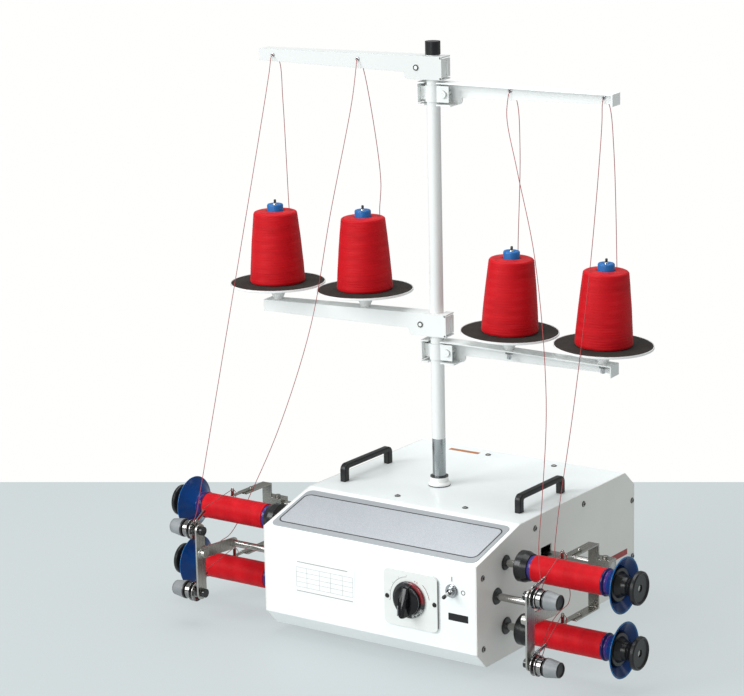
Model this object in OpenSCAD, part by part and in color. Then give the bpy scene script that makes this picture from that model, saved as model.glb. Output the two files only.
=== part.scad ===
// Bench winder that rewinds thread from four supply cones onto four small packages.
// A sheet-metal casing carries two through shafts, a traverse rod, four thread
// tensioners, and a mast with four swinging arms for the cones and thread eyelets.
// Lengths are in millimetres. Most modules draw in the casing's own frame:
// x = 0 in the middle, y = 0 at the front face, z = 0 at the bottom of the casing.

/* [Casing] */
// Width over the side panels
casing_w = 280; // [270:1:300]
// Depth from the front face to the back
casing_d = 334; // [325:1:350]
// Height from the bottom to the top face
casing_h = 140; // [137:1:146]
// Height of the upright front face
nose_h = 116.4; // [114:0.2:120]
// Depth of the sloping panel behind the front face
slope_run = 87.5; // [82:0.5:92]
// Thickness of the casing sheet
sheet_t = 1.5; // [1:0.1:2]
// Height of the rubber feet
foot_h = 10; // [6:0.5:16]
// Diameter of the rubber feet
foot_d = 26; // [18:1:34]
// Distance of each foot centre from the casing edges
foot_inset = 56; // [40:1:66]

/* [Handles] */
// Length of a carrying handle over its legs
handle_l = 94.5; // [80:0.5:110]
// Height of a carrying handle
handle_h = 20.5; // [18:0.5:30]
// Width and thickness of the handle legs
handle_w = 8; // [6:0.5:10]
// Distance of the handles from the middle
handle_x = 116.5; // [108:0.5:122]
// Distance of the handles from the front face
handle_y = 119; // [112:1:140]

/* [Mast] */
// Diameter of the mast
mast_d = 15; // [13:0.5:17]
// Height of the mast above the casing top
mast_rise = 499.5; // [485:0.5:520]
// Height of the plated lower post above the casing top
post_rise = 55; // [40:1:80]
// Sideways place of the mast
mast_x = -16; // [-18:1:-15]
// Distance of the mast from the front face
mast_y = 166; // [164:1:168]
// Height of the black end cap
cap_h = 14.5; // [12:0.5:20]

/* [Arms] */
// Length of an arm from the mast axis to its tip
arm_len = 216; // [210:1:235]
// Height of the arm at the root box
beam_h = 18; // [16:0.5:20]
// Height of the arm at its tip
tip_h = 12.8; // [11:0.2:15]
// Depth of the arm flange
arm_depth = 20; // [19:0.5:24]
// Height of the root box that holds the mast
root_h = 25.5; // [24.5:0.5:27]
// Thickness of the arm sheet
arm_t = 1.5; // [1:0.1:1.8]
// Gap between the two upper arms
upper_gap = 3; // [1:0.5:6]
// Gap between the two lower arms
lower_gap = 5.5; // [2:0.5:9]
// Height between the lower and the upper pair of arms
tier_rise = 286; // [280:1:292]
// Distance from the mast to the inner trays
inner_station = 89; // [84:1:90]
// Distance from the mast to the outer trays
outer_station = 202; // [201:1:206]

/* [Supply cones] */
// Diameter of a tray
tray_d = 109; // [96:1:110]
// Height of a tray from the arm to its rim
tray_h = 20.5; // [17:0.5:26]
// Diameter of a cone at its base
cone_base_d = 63; // [54:1:72]
// Diameter of a cone at its top
cone_top_d = 50; // [42:1:51]
// Height of a cone
cone_h = 82; // [70:1:90]
// Diameter of the tube in the middle of a cone
cone_tube_d = 18.4; // [14:0.2:22]
// Diameter of a cone pin
pin_d = 5; // [4:0.5:6]

/* [Spindles] */
// Diameter of the through shafts
shaft_d = 8; // [7:0.5:9]
// Distance of the shafts behind the front face
shaft_y = 57.5; // [56:0.5:59]
// Height of the upper shaft
upper_z = 105.5; // [104:0.5:107]
// Height of the lower shaft
lower_z = 34.5; // [33:0.5:36]
// Diameter of the spool tube
tube_d = 26.8; // [25:0.2:28]
// Thickness of the thread on a package
package_t = 1.1; // [0.6:0.1:1.6]
// Length of a package
package_l = 85.5; // [80:0.5:86]
// Diameter of the flared spool foot
spool_foot_d = 61; // [54:1:64]
// Distance from the side of the casing to the start of a package
package_out = 38; // [37:0.5:42]

/* [Traverse] */
// Diameter of the traverse rod
rod_d = 8; // [7:0.5:9]
// Distance of the traverse rod behind the front face
rod_y = 145; // [144:0.5:147]
// Height of the traverse rod
rod_z = 91; // [90:0.5:92]
// Sideways place of the traverse rod at rest
traverse_at = -20.7; // [-24:0.1:-16]
// Width of the bracket strip
strip_w = 13; // [10:0.5:14]
// Thickness of the bracket strip
strip_t = 1.5; // [1.2:0.1:2]

/* [Tensioners] */
// Diameter of the fixed tension rod
tension_rod_d = 8; // [7:0.5:9]
// Distance from the middle to the outer face of a tension plate
plate_x = 217.5; // [215:0.5:220]
// Distance of the tensioners in front of the front face
tension_y = 18; // [17:0.5:20]
// Height of the upper tensioners
tension_upper_z = 103; // [101:0.5:104]
// Height of the lower tensioners
tension_lower_z = 30; // [28:0.5:31]
// Diameter of the tension discs
disc_d = 22.6; // [20:0.2:24]
// Diameter of a tension knob at its inner end
tension_knob_d = 20.6; // [18:0.2:23]
// Length of a tension knob
tension_knob_l = 18; // [15:0.5:21]

/* [Controls] */
// Width of the dial plate
dial_w = 69; // [66:1:72]
// Height of the dial plate
dial_h = 63; // [58:1:66]
// Diameter of the speed knob's skirt
knob_skirt_d = 41; // [36:1:46]
// Height of the speed knob in front of its plate
knob_h = 17; // [14:0.5:20]
// Length of the toggle lever
lever_l = 13; // [10:0.5:16]

/* [Hidden] */
$fn = 48;
hull_fn = 32;

// Fits shared by all pieces
run_gap = 0.05;      // radial running clearance of a shaft, pin or screw
seat_gap = 0.25;     // clearance between pieces that sit side by side
cut = 2;             // how far a cutting tool runs past the piece it cuts
edge = 1;            // small edge bevel of turned plastic pieces

// Casing outline
under_cut_h = 18;
under_cut_run = 16.8;
rear_cut_h = 18.2;
rear_cut_run = 20.8;
inlet_lip = 1.5;
casing_half = casing_w / 2;
cover_half = casing_half - sheet_t;
package_x = casing_half + package_out;
slope_angle = atan2(casing_h - nose_h, slope_run);
slope_len = norm([slope_run, casing_h - nose_h]);
front_y = (tension_y + disc_d / 2 - casing_d - inlet_lip) / 2;
panel_screw_shares = [
    [0.035, 0.72], [0.036, 0.155], [0.351, 0.909], [0.659, 0.913], [0.985, 0.739], [0.988, 0.259]
];
top_screw_shares = [[-0.114, 0.316], [0.204, 0.319], [-0.123, 0.888], [0.198, 0.888]];

// Handle
handle_bar_t = 6;
handle_corner = 6;

// Mast, collar and cap
mast_r = mast_d / 2;
mast_wall = 1.5;
spigot_h = 20;
spigot_r = mast_r - mast_wall;
collar_h = 9;
collar_base_t = 5;
collar_wall = 2.8;
collar_ring_t = 1.2;
collar_base_share = 0.2;
collar_neck_share = 0.45;
mast_flange_r = 10;
mast_flange_h = 6;
cap_wall = 0.9;
cap_top_t = 1.5;
cap_clear = 1;
mast_top = casing_h + mast_rise;
post_top = casing_h + post_rise;

// Arms: directions round the mast, and the sag of each arm, in degrees
upper_left_dir = 185;
upper_right_dir = 6;
lower_left_dir = 187;
lower_right_dir = 5.2;
upper_left_sag = 0.3;
upper_right_sag = 0.8;
lower_left_sag = 0.5;
lower_right_sag = 2;
upper_left_top = mast_top + cap_top_t - cap_h - cap_clear;
upper_right_top = upper_left_top - root_h - upper_gap;
lower_left_top = upper_left_top - tier_rise;
lower_right_top = lower_left_top - root_h - lower_gap;
root_len = 30;
root_back = 16.5;
root_corner = 5;
web_y = 11.5;
tab_inset = 2.75;
slot_inset = 4.75;
relief_r = 1.2;
station_y = web_y - arm_depth / 2;
eyelet_in = 88;
eyelet_out = 198;
eyelet_r = 2.2;
eyelet_neck_r = 1.6;
eyelet_bore_r = 0.9;
eyelet_t = 0.8;

// Clamp strap, its screw and the insert nut in the web
strap_t = 1.3;
strap_inset = 3.75;
strap_leg_inset = 5.25;
strap_flat_y = 4.5;
strap_end = 21.5;
clamp_screw_x = 15;
clamp_screw_r = 2;
clamp_head_r = 3.9;
clamp_head_h = 2.4;
insert_r = 2.8;
insert_flange_r = 3.5;
insert_flange_t = 0.6;

// Trays, pads, cone posts and cones
tray_r = tray_d / 2;
tray_rim_h = 2.6;
tray_lip_t = 1;
tray_sheet_t = 1;
tray_bevel = 0.5;
boss_foot_r = 4.8;
boss_mid_r = 8.6;
boss_mid_h = 8;
boss_top_r = 15;
pad_t = 1.5;
pad_sink = 0.1;
pin_r = pin_d / 2;
pin_tip_r = 1.4;
pin_tip_h = 4;
pin_below = 10;
nut_r = 5;
nut_h = 4;
cone_tube_r = cone_tube_d / 2;
cone_tube_wall = 1.8;
cone_tube_top_t = 3.6;
tube_above_cone = 8;
pin_above_tube = 5;
cone_edge_r = 3;
cone_crown = 0.5;
cone_seat = tray_h - pad_sink;
post_tip = cone_seat + cone_h + tube_above_cone + pin_above_tube;

// Spools, seen outward from the casing
shaft_r = shaft_d / 2;
tube_r = tube_d / 2;
tube_wall = 2.4;
tube_bore_r = tube_r - tube_wall;
tube_margin = 4.6;
hub_r = 17;
hub_rim_l = 8;
hub_l = 14.5;
hub_shoulder = 1.2;
plug_l = 14;
package_r = tube_r + package_t;
package_edge = 0.4;
tube_start = package_x - tube_margin;
package_end = package_x + package_l;
flare_margin = 3;
flare_start = package_end + flare_margin;
spool_foot_r = spool_foot_d / 2;
foot_rim_t = 1.6;
foot_rim_bevel = 0.5;
flare_l = spool_foot_r - tube_r;
foot_face = flare_start + flare_l + foot_rim_t;
dish_wall = 1.5;
dish_root = 0.6;
cap_rise = 20;
cap_flange_r = 18.3;
cap_start = flare_start + dish_wall;
cap_face = foot_face + cap_rise;
cap_len = cap_face - cap_start;
cap_shares = [
    [0.007, 0.66], [0.22, 0.66], [0.22, 0.96], [0.235, 0.985], [0.315, 0.985], [0.33, 0.96],
    [0.33, 0.78], [0.48, 0.6], [0.6, 0.53], [0.7, 0.53], [0.79, 0.66], [0.84, 0.9], [0.87, 0.98],
    [0.9, 1], [0.97, 0.98], [1, 0.9], [0.985, 0.84], [0.955, 0.8]
];
shaft_recess = 3;
bush_upper_r = 8.3;
bush_lower_r = 9.5;
bush_out = 1.5;
bush_in = 7;
bush_flange_r = 14;

// Traverse rod, brackets and fingers
rod_r = rod_d / 2;
traverse_half = package_x + package_l / 2;
strip_behind = 4.5;
strip_rise = 24;
strip_drop = 50;
strip_reach = 48.5;
hub_len = 14;
hub_block = 14;
hub_screw_r = 3.2;
hub_screw_h = 2.6;
finger_w = 5;
finger_t = 1.2;
finger_reach = 71;
finger_root = 35;
finger_upper_rise = 8;
finger_lower_rise = 10.5;
finger_eye_r = 1.2;
finger_tip_r = 1.9;
finger_screw_r = 2.5;
window_front = 16;
window_back = 6;
window_above = 10.5;
window_below = 5;
strip_top = rod_z + strip_rise;
strip_bottom = rod_z - strip_drop;
finger_y = rod_y - finger_reach;

// Tensioners, seen outward from the plate
tension_rod_r = tension_rod_d / 2;
tension_rod_y = 39.5;
tension_rod_z = 73;
tension_bush_r = 9.3;
tension_bush_t = 1.5;
plate_t = 2;
plate_w = 15;
link_h = 13;
link_z = 77;
stud_r = 2.5;
stud_knob_share = 0.7;
back_nut_l = 5;
back_nut_r = 5;
washer_l = 2.5;
guide_t = 1;
guide_w = 4.5;
guide_rise = 10.2;
guide_tip_rise = 16.2;
guide_lean = 3.6;
spacer_l = 3;
disc_r = disc_d / 2;
disc_t = 0.8;
disc_flat_r = 6.5;
disc_dish = 1.5;
thread_gap = 1;
cup_r = 9.6;
cup_l = 5.5;
knob_clear = 2;
knob_edge = 0.6;
knob_band = 3;
knob_tip_r = 8.2;
knob_end_r = 6.4;
nip = plate_x + washer_l + guide_t + spacer_l + disc_t;
cup_from = nip + thread_gap + disc_t + disc_dish + seat_gap;
knob_from = cup_from + cup_l + knob_clear;
stud_end = knob_from + tension_knob_l * stud_knob_share;

// Dial, knob and toggle
toggle_inset = 31;
toggle_x = casing_half - toggle_inset;
toggle_gap = 17;
dial_x = toggle_x - toggle_gap - dial_w / 2;
dial_z = 66;
dial_t = 2.5;
dial_corner = 7;
dial_screw_inset = 4;
knob_shift = 1.5;
knob_x = dial_x - knob_shift;
knob_z = 66.5;
knob_skirt_h = 3;
knob_body_r = 14.5;
knob_body_share = 0.6;
knob_bore_share = 0.5;
knob_fin_w = 9;
knob_fin_reach = 19;
knob_fin_back = 11.6;
knob_angle = -116;
pot_shaft_r = 3;
pot_shaft_share = 0.45;
pot_r = 12;
pot_l = 14;
toggle_z = 85;
toggle_nut_r = 6.4;
toggle_nut_t = 2.4;
toggle_washer_r = 7.6;
toggle_washer_t = 1;
toggle_bush_r = 4.6;
toggle_bush_l = 6;
toggle_bore_r = 3.1;
toggle_box = [13, 22, 20];
lever_ball_r = 2.9;
lever_root_r = 1.5;
lever_tip_r = 2.2;
lever_tilt = 12;

// Nameplate on the slope
name_margin = 5.5;
name_front = 4.6;
name_back = 8.5;
name_corner = 8;
name_t = 0.8;

// Screws
screw_head_r = 3.4;
screw_crown_r = 2.4;
screw_head_h = 1.6;
screw_r = 1.5;

// Drive train inside the casing
pulley_w = 10;
belt_t = 1.5;
belt_gap = 0.3;
belt_inset = 0.8;
shaft_pulley_r = 9;
motor_pulley_r = 12;
driven_pulley_r = 20;
cam_drive_r = 12;
cam_pulley_r = 24;
upper_belt_x = -44;
motor_belt_x = -58;
cam_belt_x = -32;
cam_belt_w = 6;
motor_l = 90;
motor_wall = 4;
motor_x = -34;
motor_z = 45;
motor_shaft_r = 5;
motor_foot_l = 45;
cam_y = 190;
cam_z = 60;
cam_r = 22;
cam_l = 110;
cam_x = 60;
cam_flange_t = 3;
cam_flange_r = 25;
motor_gap = 3;
motor_r = 26;
motor_y = cam_y + cam_flange_r + motor_gap + motor_r;
motor_foot_w = 2 * motor_r - motor_wall;
follower_w = 12;
follower_pin_r = 3;
bracket_t = 4;
bracket_top = 14;
cam_bracket_w = 40;
rod_bracket_w = 28;
rod_bracket_x = 125;
board_size = [90, 60, 1.6];
board_at = [30, 96, 12];
board_post_r = 3;
inlet_x = 92;
inlet_z = 42;
inlet_w = 31;
inlet_h = 26.5;
inlet_cavity_w = 24;
inlet_cavity_h = 17;
inlet_deep = 16;
inlet_wall = 2.5;
inlet_pin = [2, 10, 4];
inlet_pin_pitch = 7;
inlet_pin_low = 5;
inlet_earth_low = 2.5;

// Threads: each route is a list of points in the casing's frame
thread_r = 0.4;
thread_sides = 8;
thread_clear = 0.35;
wrap_r = 4.4;
lay_off = 4;
eye_lead = 1.2;
supply_left_outer = [
    [-217, 166.5, 430], [-217, 165.5, 443], [-214, 156, 565], [-212, 149, 610],
    [-212.5, 140.5, 618.2], [-212.1, 135.9, 618.2]
];
supply_left_inner = [
    [-99.5, 179.8, 431], [-99.5, 178.5, 444], [-96, 177, 480], [-101, 163, 582], [-102, 154, 612],
    [-102.9, 149.9, 618.8], [-102.6, 145.8, 618.8]
];
supply_right_inner = [
    [69, 201.6, 398.5], [69, 200.8, 411], [75, 197, 524], [74, 193, 578],
    [70.2, 188.1, 589.8], [70.6, 184, 589.8]
];
supply_right_outer = [
    [186.5, 212.7, 395], [187, 211.8, 408], [186, 207, 531], [183, 203.5, 578],
    [179.6, 199.6, 588.3], [180, 195.5, 588.3]
];
run_left_outer = [[-212, 135.5, 618], [-211.5, 133, 616], [-212, 129, 598], [-225.3, -11, 121]];
run_left_inner = [
    [-102.5, 145.4, 618.5], [-101.5, 143, 615], [-102.5, 134.5, 575], [-126.3, 121, 447.1],
    [-147.5, 108, 321.1], [-189.1, 96, 196.2], [-227.2, 85, 110.8], [-233, 72, 86],
    [-226.4, 46, 78], [-225.3, 30, 76], [-225.3, 10, 68], [-225.3, -11, 47]
];
run_right_inner = [
    [70.6, 183.5, 589.5], [70, 181.2, 582], [73, 174, 562], [99, 152, 511], [143, 116, 424],
    [190, 60, 291], [208.5, 20.5, 195.5], [216.5, 0, 147], [225.3, -11, 120]
];
run_right_outer = [
    [180, 195, 588], [180, 193, 581], [183.5, 186, 561], [189.2, 153, 421.6], [188.4, 118, 268.5],
    [183.7, 90, 141.5], [188, 80, 115], [200, 75, 99], [214, 66, 86], [224, 46, 78],
    [225.3, 30, 76], [225.3, 10, 68], [225.3, -10, 47]
];

function unit(a) = a / norm(a);

// Points of an outline moved inward by t
function inset(pts, t) = [
    for (i = [0 : len(pts) - 1]) let (
        before = pts[(i + len(pts) - 1) % len(pts)],
        here = pts[i],
        after = pts[(i + 1) % len(pts)],
        d1 = unit(here - before),
        d2 = unit(after - here),
        n1 = [-d1[1], d1[0]],
        n2 = [-d2[1], d2[0]]
    ) here + t * (n1 + n2) / (1 + n1 * n2)
];

// Outline of the casing seen from the side, as [y, z] points
casing_outline = [
    [under_cut_run, 0], [casing_d, 0], [casing_d, casing_h - rear_cut_h],
    [casing_d - rear_cut_run, casing_h], [slope_run, casing_h], [0, nose_h], [0, under_cut_h]
];
panel_screws = [for (s = panel_screw_shares) [s[0] * casing_d, s[1] * casing_h]];
top_screws = [for (s = top_screw_shares) [s[0] * casing_w, s[1] * casing_d]];
dial_screws = [for (side = [-1, 1]) dial_x + side * (dial_w / 2 - dial_screw_inset)];

module at_casing() {
    translate([0, front_y, foot_h]) children();
}

module both_sides() {
    for (side = [0, 1]) mirror([side, 0, 0]) children();
}

// Round bar along x, or along y
module rod_x(r, from, to, y, z) {
    translate([from, y, z]) rotate([0, 90, 0]) cylinder(r = r, h = to - from);
}

module rod_along_y(r, x, from, to, z) {
    translate([x, to, z]) rotate([90, 0, 0]) cylinder(r = r, h = to - from);
}

// Turned piece with its axis along x; points are [distance along x, radius]
module turned_x(points, y, z) {
    translate([0, y, z]) rotate([0, 90, 0]) rotate_extrude() polygon([for (p = points) [p[1], p[0]]]);
}

module side_profile(pts, from, to) {
    translate([from, 0, 0]) rotate([90, 0, 90]) linear_extrude(to - from) polygon(pts);
}

module rounded_slab(w, h, r, t) {
    linear_extrude(t) {
        square([w - 2 * r, h], center = true);
        square([w, h - 2 * r], center = true);
        for (sx = [-1, 1], sy = [-1, 1]) translate([sx * (w / 2 - r), sy * (h / 2 - r)]) circle(r);
    }
}

// Casing
module base_pan() {
    half = cover_half - seat_gap;
    front = under_cut_run + sheet_t;
    back = casing_d - sheet_t - seat_gap;
    color("gainsboro") at_casing() translate([-half, front, 0]) cube([2 * half, back - front, sheet_t]);
}

module casing_cover() {
    opening_front = under_cut_run + sheet_t - seat_gap;
    opening_back = casing_d - sheet_t;
    inlet_hole_w = inlet_cavity_w + 2 * (inlet_wall + seat_gap);
    inlet_hole_h = inlet_cavity_h + 2 * (inlet_wall + seat_gap);
    color("white") at_casing() difference() {
        side_profile(casing_outline, -cover_half, cover_half);
        side_profile(inset(casing_outline, sheet_t), -cover_half - cut, cover_half + cut);
        // open bottom, closed by the pan
        translate([-casing_w, opening_front, -cut])
            cube([2 * casing_w, opening_back - opening_front, sheet_t + 2 * cut]);
        translate([mast_x, mast_y, casing_h - sheet_t - cut])
            cylinder(r = mast_r + seat_gap, h = sheet_t + 2 * cut);
        for (s = top_screws) translate([s[0], s[1], casing_h - sheet_t - cut])
            cylinder(r = screw_r + run_gap, h = sheet_t + 2 * cut);
        for (x = dial_screws) rod_along_y(screw_r + run_gap, x, -cut, sheet_t + cut, dial_z);
        rod_along_y(pot_shaft_r + seat_gap, knob_x, -cut, sheet_t + cut, knob_z);
        rod_along_y(toggle_bush_r + seat_gap, toggle_x, -cut, sheet_t + cut, toggle_z);
        translate([inlet_x - inlet_hole_w / 2, casing_d - sheet_t - cut, inlet_z - inlet_hole_h / 2])
            cube([inlet_hole_w, sheet_t + 2 * cut, inlet_hole_h]);
    }
}

module side_panel() {
    inner = cover_half - cut;
    outer = casing_half + cut;
    at_casing() difference() {
        side_profile(casing_outline, cover_half, casing_half);
        rod_x(bush_upper_r + run_gap, inner, outer, shaft_y, upper_z);
        rod_x(bush_lower_r + run_gap, inner, outer, shaft_y, lower_z);
        rod_x(tension_rod_r + run_gap, inner, outer, tension_rod_y, tension_rod_z);
        translate([inner, rod_y - window_front, rod_z - window_below])
            cube([outer - inner, window_front + window_back, window_below + window_above]);
        for (s = panel_screws) rod_x(screw_r + run_gap, inner, outer, s[0], s[1]);
    }
}

module side_panel_right() {
    color("whitesmoke") side_panel();
}

module side_panel_left() {
    color("whitesmoke") mirror([1, 0, 0]) side_panel();
}

module nameplate() {
    w = casing_w - 2 * name_margin;
    l = slope_len - name_front - name_back;
    color("silver") at_casing() translate([0, 0, nose_h]) rotate([slope_angle, 0, 0])
        translate([0, name_front + l / 2, 0]) rounded_slab(w, l, name_corner, name_t);
}

module handle() {
    color("black") translate([handle_x - handle_w / 2, handle_y, casing_h]) rotate([90, 0, 90])
        linear_extrude(handle_w) difference() {
            union() {
                square([handle_l, handle_h - handle_corner]);
                translate([handle_corner, 0]) square([handle_l - 2 * handle_corner, handle_h]);
                for (y = [handle_corner, handle_l - handle_corner])
                    translate([y, handle_h - handle_corner]) circle(handle_corner);
            }
            translate([handle_w, -cut]) square([handle_l - 2 * handle_w, handle_h - handle_bar_t + cut]);
        }
}

module carry_handles() {
    at_casing() both_sides() handle();
}

module rubber_feet() {
    color("dimgray") at_casing() both_sides() for (y = [foot_inset, casing_d - foot_inset])
        translate([casing_half - foot_inset, y, -foot_h]) cylinder(d1 = foot_d, d2 = foot_d * 1.1, h = foot_h);
}

// Screw with its head on z = 0
module screw(through) {
    cylinder(r1 = screw_head_r, r2 = screw_crown_r, h = screw_head_h);
    translate([0, 0, -through]) cylinder(r = screw_r, h = through + screw_head_h / 2);
}

module casing_screws() {
    color("silver") at_casing() {
        for (s = top_screws) translate([s[0], s[1], casing_h]) screw(sheet_t);
        both_sides() for (s = panel_screws) translate([casing_half, s[0], s[1]]) rotate([0, 90, 0])
            screw(sheet_t);
        for (x = dial_screws) translate([x, -dial_t, dial_z]) rotate([90, 0, 0]) screw(dial_t + sheet_t);
    }
}

// Front controls
module dial_plate() {
    color("ivory") at_casing() difference() {
        translate([dial_x, 0, dial_z]) rotate([90, 0, 0]) rounded_slab(dial_w, dial_h, dial_corner, dial_t);
        rod_along_y(pot_shaft_r + seat_gap, knob_x, -dial_t - cut, cut, knob_z);
        for (x = dial_screws) rod_along_y(screw_r + run_gap, x, -dial_t - cut, cut, dial_z);
    }
}

module speed_knob() {
    back = -dial_t - seat_gap;
    color("black") at_casing() difference() {
        union() {
            rod_along_y(knob_skirt_d / 2, knob_x, back - knob_skirt_h, back, knob_z);
            rod_along_y(knob_body_r, knob_x, back - knob_h * knob_body_share, back, knob_z);
            // pointer fin across the body
            translate([knob_x, back - knob_skirt_h, knob_z]) rotate([90, 0, 0]) rotate([0, 0, knob_angle])
                linear_extrude(knob_h - knob_skirt_h) {
                    translate([-knob_fin_back, -knob_fin_w / 2])
                        square([knob_fin_reach + knob_fin_back - knob_fin_w / 2, knob_fin_w]);
                    translate([knob_fin_reach - knob_fin_w / 2, 0]) circle(knob_fin_w / 2);
                }
        }
        rod_along_y(pot_shaft_r + run_gap, knob_x, back - knob_h * knob_bore_share, cut, knob_z);
    }
}

module toggle_switch() {
    color("silver") at_casing() difference() {
        union() {
            rod_along_y(toggle_washer_r, toggle_x, -toggle_washer_t, 0, toggle_z);
            rod_along_y(toggle_nut_r, toggle_x, -toggle_washer_t - toggle_nut_t, 0, toggle_z);
            rod_along_y(toggle_bush_r, toggle_x, -toggle_bush_l, sheet_t + cut, toggle_z);
            translate([toggle_x - toggle_box[0] / 2, sheet_t, toggle_z - toggle_box[2] / 2]) cube(toggle_box);
        }
        rod_along_y(toggle_bore_r, toggle_x, -toggle_bush_l - cut, toggle_bore_r, toggle_z);
    }
}

module toggle_lever() {
    color("silver") at_casing() translate([toggle_x, lever_ball_r - toggle_bush_l, toggle_z])
        rotate([90 + lever_tilt, 0, 0]) {
            sphere(r = lever_ball_r);
            cylinder(r1 = lever_root_r, r2 = lever_tip_r, h = lever_l);
            translate([0, 0, lever_l]) sphere(r = lever_tip_r);
        }
}

// Inside and rear of the casing
module power_inlet() {
    body_w = inlet_cavity_w + 2 * inlet_wall;
    body_h = inlet_cavity_h + 2 * inlet_wall;
    pin_z = -inlet_cavity_h / 2 + inlet_pin_low;
    color("black") at_casing() translate([inlet_x, casing_d, inlet_z]) {
        difference() {
            union() {
                translate([-inlet_w / 2, 0, -inlet_h / 2]) cube([inlet_w, inlet_lip, inlet_h]);
                translate([-body_w / 2, -inlet_deep - inlet_wall, -body_h / 2])
                    cube([body_w, inlet_deep + inlet_wall, body_h]);
            }
            translate([-inlet_cavity_w / 2, -inlet_deep, -inlet_cavity_h / 2])
                cube([inlet_cavity_w, inlet_deep + inlet_lip + cut, inlet_cavity_h]);
        }
        for (i = [-1, 0, 1]) translate([i * inlet_pin_pitch - inlet_pin[0] / 2, -inlet_deep,
            i == 0 ? pin_z - inlet_earth_low : pin_z]) cube(inlet_pin);
    }
}

module control_board() {
    color("seagreen") at_casing() {
        translate(board_at) cube(board_size);
        for (x = [board_post_r, board_size[0] - board_post_r], y = [board_post_r, board_size[1] - board_post_r])
            translate([board_at[0] + x, board_at[1] + y, sheet_t])
                cylinder(r = board_post_r, h = board_at[2] - sheet_t);
    }
    // turning speed control behind the dial plate
    color("gray") at_casing() {
        rod_along_y(pot_r, knob_x, sheet_t, sheet_t + pot_l, knob_z);
        rod_along_y(pot_shaft_r, knob_x, -dial_t - knob_h * pot_shaft_share, sheet_t, knob_z);
    }
}

module motor_body() {
    color("darkslategray") at_casing() difference() {
        union() {
            rod_x(motor_r, motor_x, motor_x + motor_l, motor_y, motor_z);
            translate([motor_x + (motor_l - motor_foot_l) / 2, motor_y - motor_foot_w / 2, sheet_t])
                cube([motor_foot_l, motor_foot_w, motor_z - motor_r / 2 - sheet_t]);
        }
        rod_x(motor_r - motor_wall, motor_x + motor_wall, motor_x + motor_l - motor_wall, motor_y, motor_z);
        rod_x(motor_shaft_r + run_gap, motor_x - cut, motor_x + motor_l + cut, motor_y, motor_z);
    }
}

module motor_rotor() {
    core_inset = 2 * motor_wall;
    color("gray") at_casing() {
        rod_x(motor_shaft_r, motor_belt_x, motor_x + motor_l, motor_y, motor_z);
        rod_x(motor_r - core_inset, motor_x + core_inset, motor_x + motor_l - core_inset, motor_y, motor_z);
        rod_x(motor_pulley_r, motor_belt_x, motor_belt_x + pulley_w, motor_y, motor_z);
    }
}

// Belt loop round two pulleys, each given by [y, z] and radius
module belt(a, ra, b, rb, x, w) {
    translate([x + belt_inset, 0, 0]) rotate([90, 0, 90]) linear_extrude(w - 2 * belt_inset) difference() {
        hull() {
            translate(a) circle(ra + belt_gap + belt_t, $fn = hull_fn);
            translate(b) circle(rb + belt_gap + belt_t, $fn = hull_fn);
        }
        hull() {
            translate(a) circle((ra + belt_gap) / cos(180 / hull_fn), $fn = hull_fn);
            translate(b) circle((rb + belt_gap) / cos(180 / hull_fn), $fn = hull_fn);
        }
    }
}

module drive_belts() {
    upper = [shaft_y, upper_z];
    lower = [shaft_y, lower_z];
    color("dimgray") at_casing() {
        belt(upper, shaft_pulley_r, lower, shaft_pulley_r, upper_belt_x, pulley_w);
        belt([motor_y, motor_z], motor_pulley_r, lower, driven_pulley_r, motor_belt_x, pulley_w);
        belt([cam_y, cam_z], cam_pulley_r, lower, cam_drive_r, cam_belt_x, cam_belt_w);
    }
}

module spindle_bush(r, z) {
    bore = shaft_r + run_gap;
    inner = cover_half - bush_in;
    outer = casing_half + bush_out;
    turned_x([
        [inner, bore], [inner, bush_flange_r], [cover_half, bush_flange_r], [cover_half, r],
        [outer - edge, r], [outer, r - edge], [outer, bore]
    ], shaft_y, z);
}

module tension_bush() {
    bore = tension_rod_r + run_gap;
    outer = casing_half + tension_bush_t;
    turned_x([
        [casing_half, bore], [casing_half, tension_bush_r], [outer, tension_bush_r - edge], [outer, bore]
    ], tension_rod_y, tension_rod_z);
}

module standing_bracket(x, y, z, w, bore_r) {
    difference() {
        translate([x, y - w / 2, sheet_t]) cube([bracket_t, w, z + bracket_top - sheet_t]);
        rod_x(bore_r, x - cut, x + bracket_t + cut, y, z);
    }
}

module bearings() {
    color("black") at_casing() both_sides() {
        spindle_bush(bush_upper_r, upper_z);
        spindle_bush(bush_lower_r, lower_z);
        tension_bush();
    }
    color("gray") at_casing() {
        both_sides() standing_bracket(rod_bracket_x, rod_y, rod_z, rod_bracket_w, rod_r + run_gap);
        for (x = [cam_x - cam_l / 2 - 2 * bracket_t, cam_x + cam_l / 2 + bracket_t])
            standing_bracket(x, cam_y, cam_z, cam_bracket_w, motor_shaft_r + run_gap);
    }
}

module cam_drum() {
    from = cam_x - cam_l / 2;
    to = cam_x + cam_l / 2;
    color("gray") at_casing() {
        rod_x(motor_shaft_r, cam_belt_x, to + 2 * bracket_t, cam_y, cam_z);
        rod_x(cam_r, from, to, cam_y, cam_z);
        rod_x(cam_flange_r, from, from + cam_flange_t, cam_y, cam_z);
        rod_x(cam_flange_r, to - cam_flange_t, to, cam_y, cam_z);
        rod_x(cam_pulley_r, cam_belt_x, cam_belt_x + cam_belt_w, cam_y, cam_z);
    }
}

// Mast
module at_mast(z) {
    at_casing() translate([mast_x, mast_y, z]) children();
}

module collar_ring(r) {
    difference() {
        cylinder(r = r, h = collar_ring_t);
        translate([0, 0, -cut]) cylinder(r = mast_r + run_gap, h = collar_ring_t + 2 * cut);
    }
}

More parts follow.
